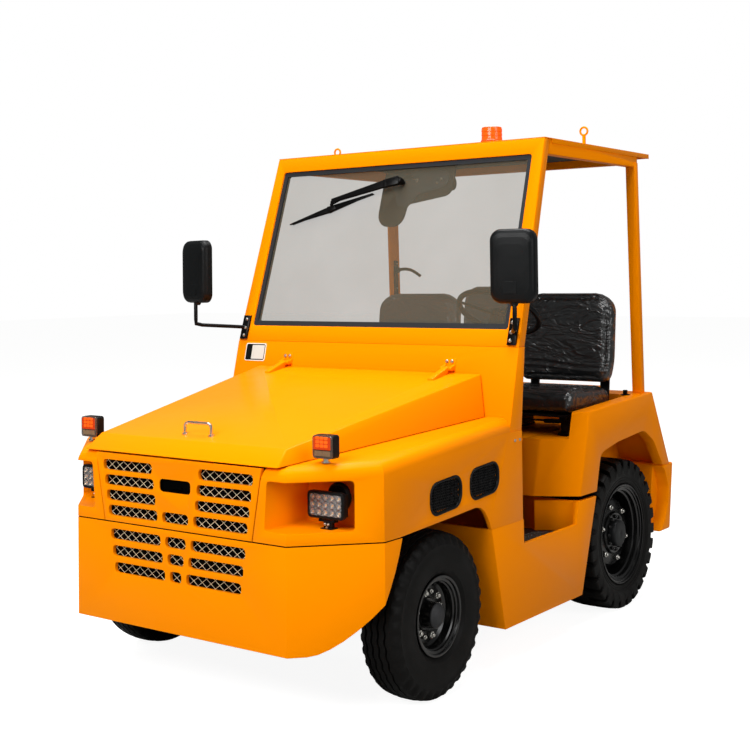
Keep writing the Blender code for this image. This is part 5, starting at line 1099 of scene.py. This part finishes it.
def mirrors():
    """Domed case with a service cover, mirror glass at its back and the arm of the CAD node."""
    half_w, half_h, half_d, turn = 0.0935, 0.147, 0.0275, radians(12)
    shell = case("mirror_case", (-half_w, 0.002, -half_h), (half_w, half_d, half_h), 0.044, 0.0, 1, 8)
    # the domed front narrows ring by ring
    at = 0.002
    for depth, share in ((0.010, 0.985), (0.008, 0.965), (0.0055, 0.93), (0.0035, 0.87), (0.0018, 0.76),
                         (0.0007, 0.5)):
        pick(shell, "FACE", lambda middle, normal: middle.y < at + 0.0001 and normal.y < -0.9)
        extrude((0, -depth, 0))
        bpy.ops.transform.resize(value=(share, 1.0, share), center_override=(0, 0, 0))
        leave()
        at -= depth
    sink_face(shell, lambda m, n: n.y > 0.95, 0.007, (0, -0.004, 0))
    cover = case("mirror_cover", (-0.036, -0.0278, -0.108), (0.022, -0.020, -0.060), 0.006, 0.0006)
    pivot = turned("mirror_pivot", mm((-158, 1), (-158, 12), (-150, 17), (-138, 18), (-138, 1)),
                   (0.0, 0.006, 0.0), (0, 0, 1), 24)
    glass = case("mirror_glass", (-half_w + 0.0075, half_d - 0.0042, -half_h + 0.0075),
                 (half_w - 0.0075, half_d - 0.0025, half_h - 0.0075), 0.037, 0.0006, 1, 8)
    low = span("mirror_left")[0]
    centre = Vector((0.8586, station(1.005), 1.597))
    place = Matrix.Translation(centre) @ Matrix.Rotation(turn, 4, "Z")
    for piece in (shell, cover, pivot, glass):
        piece.data.transform(place)
    arm = cad_copy("mirror_left", "mirror_arm")
    cut_off(arm, (0, 0, centre.z - half_h - 0.001), (0, 0, 1))
    rounded_edges(finish_mesh(arm), 0.0012, 2, 50)
    pair(arm, "mirror_arm", BRACKET_BLACK, 50, "mirror")
    pair([shell, cover, pivot], "mirror_case", ABS_BLACK, 50)
    pair(glass, "mirror_glass", MIRROR_GLASS)
    # plate bolts on the pillar: two along the plate and the clamp's stud
    bolts = []
    for z in (low.z + 0.018, low.z + 0.052, low.z + 0.092):
        y = pillar_front(z) - 0.012
        bolts.append(hex_nut("plate_bolt", (PLATE_X, y, z), 0.017, 0.006, (0, -1, 0)))
    pair(bolts, "mirror_bolts", ZINC, 30)


# the windscreen's lean, read from its frame
FRAME_LOW, FRAME_HIGH = span("windscreen_frame")[:2]
LEAN = (FRAME_HIGH.y - FRAME_LOW.y - 0.060) / (FRAME_HIGH.z - FRAME_LOW.z)
TILT = atan(LEAN)
PLATE_X = 0.730


def pillar_front(z):
    """World Y of the windscreen frame's front face at a height."""
    return FRAME_LOW.y + LEAN * (z - FRAME_LOW.z)


def on_glass(x, z, out):
    """A point in front of the windscreen by a distance along its normal."""
    return Vector((x, pillar_front(z) + 0.018 - out / cos(TILT), z))


def wiper():
    """Tapered arm from a capped pivot, and a pointed blade with its clip and rubber."""
    out = Vector((0, -cos(TILT), sin(TILT)))
    pivot = on_glass(0.028, 1.993, 0.0)
    head = turned("wiper_head", mm((0.5, 1), (0.5, 11), (12, 12), (14, 15.5), (36, 15.5), (43, 12), (45, 6),
                                   (45, 1)), pivot, out, 32)
    knee = on_glass(-0.047, 1.989, 0.046)
    tip = on_glass(-0.350, 1.924, 0.030)
    blade_a, blade_b = on_glass(-0.594, 1.820, 0.014), on_glass(-0.125, 1.950, 0.014)
    clip = blade_a.lerp(blade_b, 0.52)
    # start, end, width, thickness, taper and edge of each bar
    parts = [head] + [bar("wiper_bar", start, end, wide, thick, taper, out, edge)
                      for start, end, wide, thick, taper, edge in (
        (pivot + out * 0.036, knee, 0.042, 0.020, 0.9, 0.003),
        (knee - (tip - knee) * 0.06, tip, 0.037, 0.015, 0.6, 0.0025),
        (knee + (tip - knee) * 0.70, on_glass(-0.355, 1.905, 0.028), 0.009, 0.006, 1.0, 0.001),
        (clip, blade_a, 0.031, 0.014, 0.25, 0.002),
        (clip, blade_b, 0.031, 0.014, 0.25, 0.002),
        (clip - (clip - blade_a) * 0.09, clip + (blade_b - clip) * 0.10, 0.030, 0.024, 0.8, 0.003),
        (on_glass(-0.352, 1.889, 0.016), on_glass(-0.350, 1.926, 0.028), 0.014, 0.014, 0.8, 0.003))]
    blade = joined("wiper_blade", parts)
    fit(smooth(blade, 40), BRACKET_BLACK, "wiper", body="wiper")
    start, end = blade_a.lerp(blade_b, 0.02) - out * 0.008, blade_b - out * 0.008
    rubber = bar("wiper_rubber", start, end, 0.0035, 0.009, 1.0, out)
    fit(rubber, SEAL_RUBBER, body="wiper")


def wiper_bracket():
    """Lobed bracket with a lighter raised plate and its bolts."""
    base = cad_copy("wiper_motor", "wiper_bracket")
    rounded_edges(base, 0.0012, 2, 45)
    fit(smooth(base, 40), MOTOR_GREY, "wiper_motor")
    # raised plate seen through the glass, on the side of the bracket that faces it
    back = pillar_front(0) + 0.0603

    def at(x, z, off):
        return Vector((0.028 + x, back + LEAN * (1.993 + z) + off, 1.993 + z))
    rim = begin("raised_plate", bpy.ops.mesh.primitive_circle_add, vertices=24, radius=0.1, fill_type="NGON")
    outline = mm((-100, 55), (-40, 60), (60, 58), (150, 56), (195, 52), (222, 34), (226, 8), (214, -16),
                 (190, -32), (150, -40), (110, -46), (80, -52), (60, -64), (46, -84), (22, -106), (-8, -112),
                 (-36, -102), (-52, -80), (-56, -56), (-70, -34), (-90, -18), (-106, 4), (-112, 26),
                 (-110, 44))
    for vert, (x, z) in zip(rim.data.vertices, outline):
        vert.co = at(x, z, -0.0003)
    pick(rim, "FACE", every)
    extrude((0, -0.005, 0))
    leave()
    finish_mesh(rim)
    rounded_edges(rim, 0.001, 2, 40)
    fit(smooth(rim, 40), PALE_GREY)
    bolts = [hex_nut("bracket_bolt", at(x, z, -0.0055), size, 0.006, (0, -1, 0)) for x, z, size in (
        (0.050, 0.012, 0.020), (0.185, 0.010, 0.014), (0.165, -0.006, 0.010), (-0.070, 0.030, 0.014))]
    fit(smooth(joined("bracket_bolts", bolts), 30), ZINC)


# Cab floor, lining, plates and small fittings

def step_treads():
    """Pressed anti-slip rings on the step treads."""
    top = span("cab_floor")[1].z
    pitch = 0.026
    stud = turned("tread_ring", mm((0, 3.5), (0, 8.5), (2.2, 7.2), (3, 5.8), (2.2, 4.4)),
                  Vector((0, 0, top)), (0, 0, 1), 12)
    rings = []
    for row in range(7):
        x = 0.742 - pitch * 0.87 * row
        first = station(1.232) + (pitch / 2 if row % 2 else 0)
        # the tread ends at the slanted riser
        last = station(1.628 + (x - 0.59) / (FENDER_FACE_X - 0.59) * 0.107) - 0.020
        count = int((last - first) / pitch) + 1
        line = copied(stud, f"tread_row_{row}", Matrix.Translation((x, first, 0)))
        repeated(line, count, (0, pitch, 0))
        rings.append(line)
    bpy.data.objects.remove(stud)
    pair(rings, "tread_rings", TREAD_BLACK, 60)


def roof_lining():
    """Dark felt panel under the roof between its rails."""
    front, rear = station(1.56), span("roof_frame")[1].y - 0.052
    panel = box("roof_lining", (-0.690, front, 2.136), (0.690, rear, 2.1515), 0.004)
    # sixteen shallow quilted fields
    pick(panel, "FACE", lambda middle, normal: normal.z < -0.95)
    bpy.ops.mesh.subdivide(number_cuts=3)
    leave()
    pick(panel, "FACE", lambda middle, normal: normal.z < -0.95)
    bpy.ops.mesh.inset(thickness=0.010, use_individual=True)
    bpy.ops.transform.translate(value=(0, 0, -0.003))
    leave()
    rounded_edges(panel, 0.0015, 2, 20)
    fit(smooth(panel, 40), LINING)


COWL_LEAN, COWL_TOP_Z, COWL_TOP_S = 0.25, 1.2663, 1.1996      # the cowl's leaning front and its top edge
HINGE_X, HINGE_BOLT_Z, FENDER_FACE_X = 0.445, 1.202, 0.7695


def cowl_front(z):
    """World Y of the cowl's leaning front face at a height."""
    return station(COWL_TOP_S - COWL_LEAN * (COWL_TOP_Z - z))


def blank_plates():
    """Rating plate left blank: pale border, black third, pale field."""
    centre = Vector((-0.650, cowl_front(1.214), 1.214))
    turn = Matrix.Translation(centre) @ Matrix.Rotation(-atan(COWL_LEAN), 4, "X")
    border = case("rating_plate", (-0.062, -0.0022, -0.042), (0.062, 0.0004, 0.042), 0.010, 0.0004)
    dark = case("rating_plate_dark", (-0.058, -0.0027, -0.038), (0.058, -0.0018, 0.038), 0.008, 0.0002)
    field = case("rating_plate_field", (-0.022, -0.0032, -0.033), (0.054, -0.0023, 0.033), 0.002, 0.0002)
    for piece, material in ((border, PLATE_WHITE), (dark, ABS_BLACK), (field, PLATE_GREY)):
        piece.data.transform(turn)
        fit(smooth(piece), material)


def body_bolts():
    """Zinc bolts on the hinge pads and the front fenders."""
    nuts, hinge_y = [], cowl_front(HINGE_BOLT_Z) - 0.0045
    for side, _ in SIDES:
        for dx in (-0.012, 0.014):
            place = (side * HINGE_X + dx, hinge_y, HINGE_BOLT_Z)
            nuts.append(hex_nut("hinge_bolt", place, 0.017, 0.006, (0, -1, 0)))
        for s in (1.152, 1.192):
            place = (side * FENDER_FACE_X, station(s), 0.893)
            nuts.append(hex_nut("fender_bolt", place, 0.014, 0.004, (side, 0, 0)))
    fit(smooth(joined("body_bolts", nuts), 30), ZINC)


def post_latch():
    """Black latch plate with a curved lever on the right rear post, and its catch at the left post's foot."""
    x, y = -0.6965, station(2.410)
    plate = case("latch_plate", (x, y - 0.020, 1.405), (x + 0.007, y + 0.016, 1.652), 0.006, 0.001, 0)
    hub = turned("latch_hub", mm((0, 1), (0, 19), (10, 18), (18, 13), (18, 1)),
                 (x + 0.007, y, 1.600), (1, 0, 0), 28)
    lever = tube("latch_lever", [(x + 0.016, y, 1.600), (x + 0.050, y - 0.002, 1.606),
                                 (x + 0.090, y - 0.003, 1.604), (x + 0.130, y - 0.003, 1.590),
                                 (x + 0.166, y - 0.003, 1.566)], 0.0085)
    screws = [hex_nut("latch_screw", (x + 0.007, y, z), 0.012, 0.003, (1, 0, 0))
              for z in (1.430, 1.500, 1.635)]
    fit(smooth(joined("post_latch", [plate, hub, lever]), 50), BRACKET_BLACK)
    fit(smooth(joined("latch_screws", screws), 30), ZINC)
    foot = fender_top(2.365)
    base = case("catch_base", (0.672, station(2.345), foot), (0.712, station(2.378), foot + 0.004),
                0.004, 0.0005, 2)
    body = case("catch_body", (0.683, station(2.352), foot + 0.003), (0.701, station(2.371), foot + 0.024),
                0.003, 0.001, 2)
    fit(smooth(joined("post_catch", [base, body]), 40), BRACKET_BLACK)


def fender_top(s):
    """Height of the rear fender's top at a station."""
    return 0.948 + (0.983 - 0.948) * (s - 1.825) / (2.507 - 1.825)


def steering():
    """Smooth rim, three spokes, and a hub with its horn button."""
    tilt = radians(32)
    axis = Vector((0, sin(tilt), cos(tilt)))
    turn = UP.rotation_difference(axis)
    centre = Vector((0.430, station(1.616), 1.395))
    rim = begin("wheel_rim", bpy.ops.mesh.primitive_torus_add, major_radius=0.185, minor_radius=0.0128,
                major_segments=64, minor_segments=16, location=centre)
    rim.rotation_euler = turn.to_euler()
    settle(rim)
    parts = [rim]
    for k in range(3):
        spoke = bar(f"spoke_{k}", (0.030, 0, -0.012), (0.180, 0, 0.0), 0.030, 0.009, 0.7, UP, 0.003)
        spoke.data.transform(Matrix.Translation(centre) @ turn.to_matrix().to_4x4()
                             @ Matrix.Rotation(radians(90 + 120 * k), 4, "Z"))
        parts.append(spoke)
    parts.append(turned("hub", mm((-30, 1), (-30, 33), (-6, 38), (2, 36), (6, 28), (8, 16), (8, 1)), centre,
                        axis, 40))
    fit(smooth(joined("steering_wheel_rim", parts), 40), ABS_BLACK, "steering_wheel",
        body="steering_wheel")


def dash_fittings():
    """Instrument binnacle with three gauges, and a row of rocker switches."""
    face = span("dashboard")[1].y
    panel = case("binnacle", (0.255, face - 0.004, 1.120), (0.605, face + 0.012, 1.212), 0.012, 0.003)
    parts, gauges = [panel], (0.330, 0.430, 0.530)
    for x in gauges:
        parts.append(turned(f"gauge_rim_{x}", mm((0, 27), (0, 33), (5, 33), (6, 30), (4, 27)),
                            (x, face + 0.012, 1.166), (0, 1, 0), 32))
    for k in range(6):
        x = -0.02 - 0.034 * k
        parts.append(case(f"rocker_{k}", (x, face - 0.003, 1.140), (x + 0.024, face + 0.007, 1.182), 0.003,
                          0.0015))
    fit(smooth(joined("dash_switches", parts), 40), ABS_BLACK)
    dials = [turned(f"dial_{x}", mm((0, 1), (0, 26.8), (2, 26.8), (2, 1)), (x, face + 0.012, 1.166),
                    (0, 1, 0), 32) for x in gauges]
    fit(smooth(joined("dash_dials", dials), 40), DIAL_FACE)


DECK_Z = 0.828          # the sheet under the seats


def seat_runners():
    """Runners, the carriers above them, and an adjusting lever under each seat."""
    parts = []
    for word in ("left", "middle", "right"):
        low, high, middle = span(f"seat_cushion_{word}")
        base, front, half = low.z - 0.0003, low.y + 0.03, (high.x - low.x) / 2 - 0.055
        parts.append(bar(f"lever_{word}", (middle.x - half, front, base - 0.030),
                         (middle.x + half, front, base - 0.030), 0.009, 0.009, 1.0, UP, 0.002))
        parts.append(case(f"lever_grip_{word}", (middle.x + half - 0.090, front - 0.016, base - 0.040),
                          (middle.x + half - 0.010, front + 0.008, base - 0.022), 0.007, 0.002))
        for side in (-1, 1):
            x = middle.x + side * half
            parts.append(case(f"runner_{word}_{side}", (x - 0.026, front - 0.004, DECK_Z + 0.0005),
                              (x + 0.026, high.y - 0.04, DECK_Z + 0.014), 0.004, 0.001))
            parts.append(case(f"carrier_{word}_{side}", (x - 0.018, front, base - 0.030),
                              (x + 0.018, high.y - 0.07, base - 0.0005), 0.004, 0.0015))
    fit(smooth(joined("seat_runners", parts), 40), BRACKET_BLACK)


grille_mesh()
for place_index, (vent_s, vent_z) in enumerate(VENTS):
    vent(place_index, vent_s, vent_z)
headlamps()
horn()
turn_lamps()
beacon()
mirrors()
wiper()
wiper_bracket()
step_treads()
roof_lining()
blank_plates()
body_bolts()
post_latch()
steering()
dash_fittings()
seat_runners()


# Camera, floor and light

# the camera solved from the photo: place, then heading, pitch and roll in degrees
EYE, YAW, PITCH, ROLL = (3.3529, -4.8091, 1.5546), 36.1755, 1.4798, -0.6860
FOCAL_PIXELS, PHOTO_PIXELS, SENSOR_MM = 1266.577, 750, 36.0


def studio():
    view = bpy.data.cameras.new("photo_camera")
    camera = bpy.data.objects.new("photo_camera", view)
    bpy.context.scene.collection.objects.link(camera)
    turn = Matrix.Rotation(radians(YAW), 4, "Z") @ Matrix.Rotation(pi / 2 + radians(PITCH), 4, "X")
    camera.matrix_world = Matrix.Translation(EYE) @ turn @ Matrix.Rotation(radians(ROLL), 4, "Z")
    view.sensor_width = SENSOR_MM
    view.lens = FOCAL_PIXELS / PHOTO_PIXELS * SENSOR_MM
    view.shift_x = 0.0014
    view.shift_y = -0.1722
    view.clip_end = 200.0
    bpy.context.scene.camera = camera

    clear()
    bpy.ops.mesh.primitive_plane_add(size=80, location=(0, 0, 0))
    floor = bpy.context.active_object
    floor.name = "studio_floor"
    floor.data.materials.append(studio_paper())

    world = bpy.context.scene.world or bpy.data.worlds.new("world")
    bpy.context.scene.world = world
    world.use_nodes = True
    tree = world.node_tree
    add = partial(add_node, tree)
    soft = feed(tree.nodes["Background"], Color=tone("#FFFFFF"), Strength=0.18)
    # the camera sees a white backdrop, whatever light the room gives
    backdrop = add("Background", Color=tone("#FFFFFF"), Strength=1.0)
    mix = add("MixShader", i0=add("LightPath").outputs["Is Camera Ray"], i1=soft.outputs[0],
              i2=backdrop.outputs[0])
    feed(tree.nodes["World Output"], Surface=mix.outputs[0])
    for name, place, size, power, aim in LAMPS:
        lamp = bpy.data.lights.new(name, "AREA")
        lamp.size = size
        lamp.energy = power
        holder = bpy.data.objects.new(name, lamp)
        holder.location = place
        holder.rotation_euler = (Vector(aim) - Vector(place)).to_track_quat("-Z", "Y").to_euler()
        bpy.context.scene.collection.objects.link(holder)
    bpy.context.scene.view_settings.view_transform = "Standard"


# name, place, size, power and aim of each softbox
LAMPS = (
    ("front_box", (0.6, -6.8, 5.4), 4.0, 600, (0, -0.5, 0.8)),
    ("side_box", (8.0, -1.0, 3.6), 4.0, 200, (0, 0, 0.8)),
    ("overhead_box", (0.0, 0.5, 8.0), 5.0, 720, (0, 0, 1.0)),
)


def studio_paper():
    """White seamless paper; the camera sees it nearly as bright as the backdrop."""
    material, add, shader, place = new_material("seamless_paper")
    fibre = add("TexNoise", Vector=place, Scale=900.0, Detail=2.0).outputs["Fac"]
    seen = add("LightPath").outputs["Is Camera Ray"]
    feed(shader, Normal=bumped(add, fibre, 0.05), Base_Color=tone("#9A9A98"), Roughness=1.0,
         Specular_IOR_Level=0.0, Emission_Color=tone("#FFFFFF"),
         Emission_Strength=add("Math", {"operation": "MULTIPLY"}, i0=seen, i1=0.92).outputs[0])
    return material


studio()
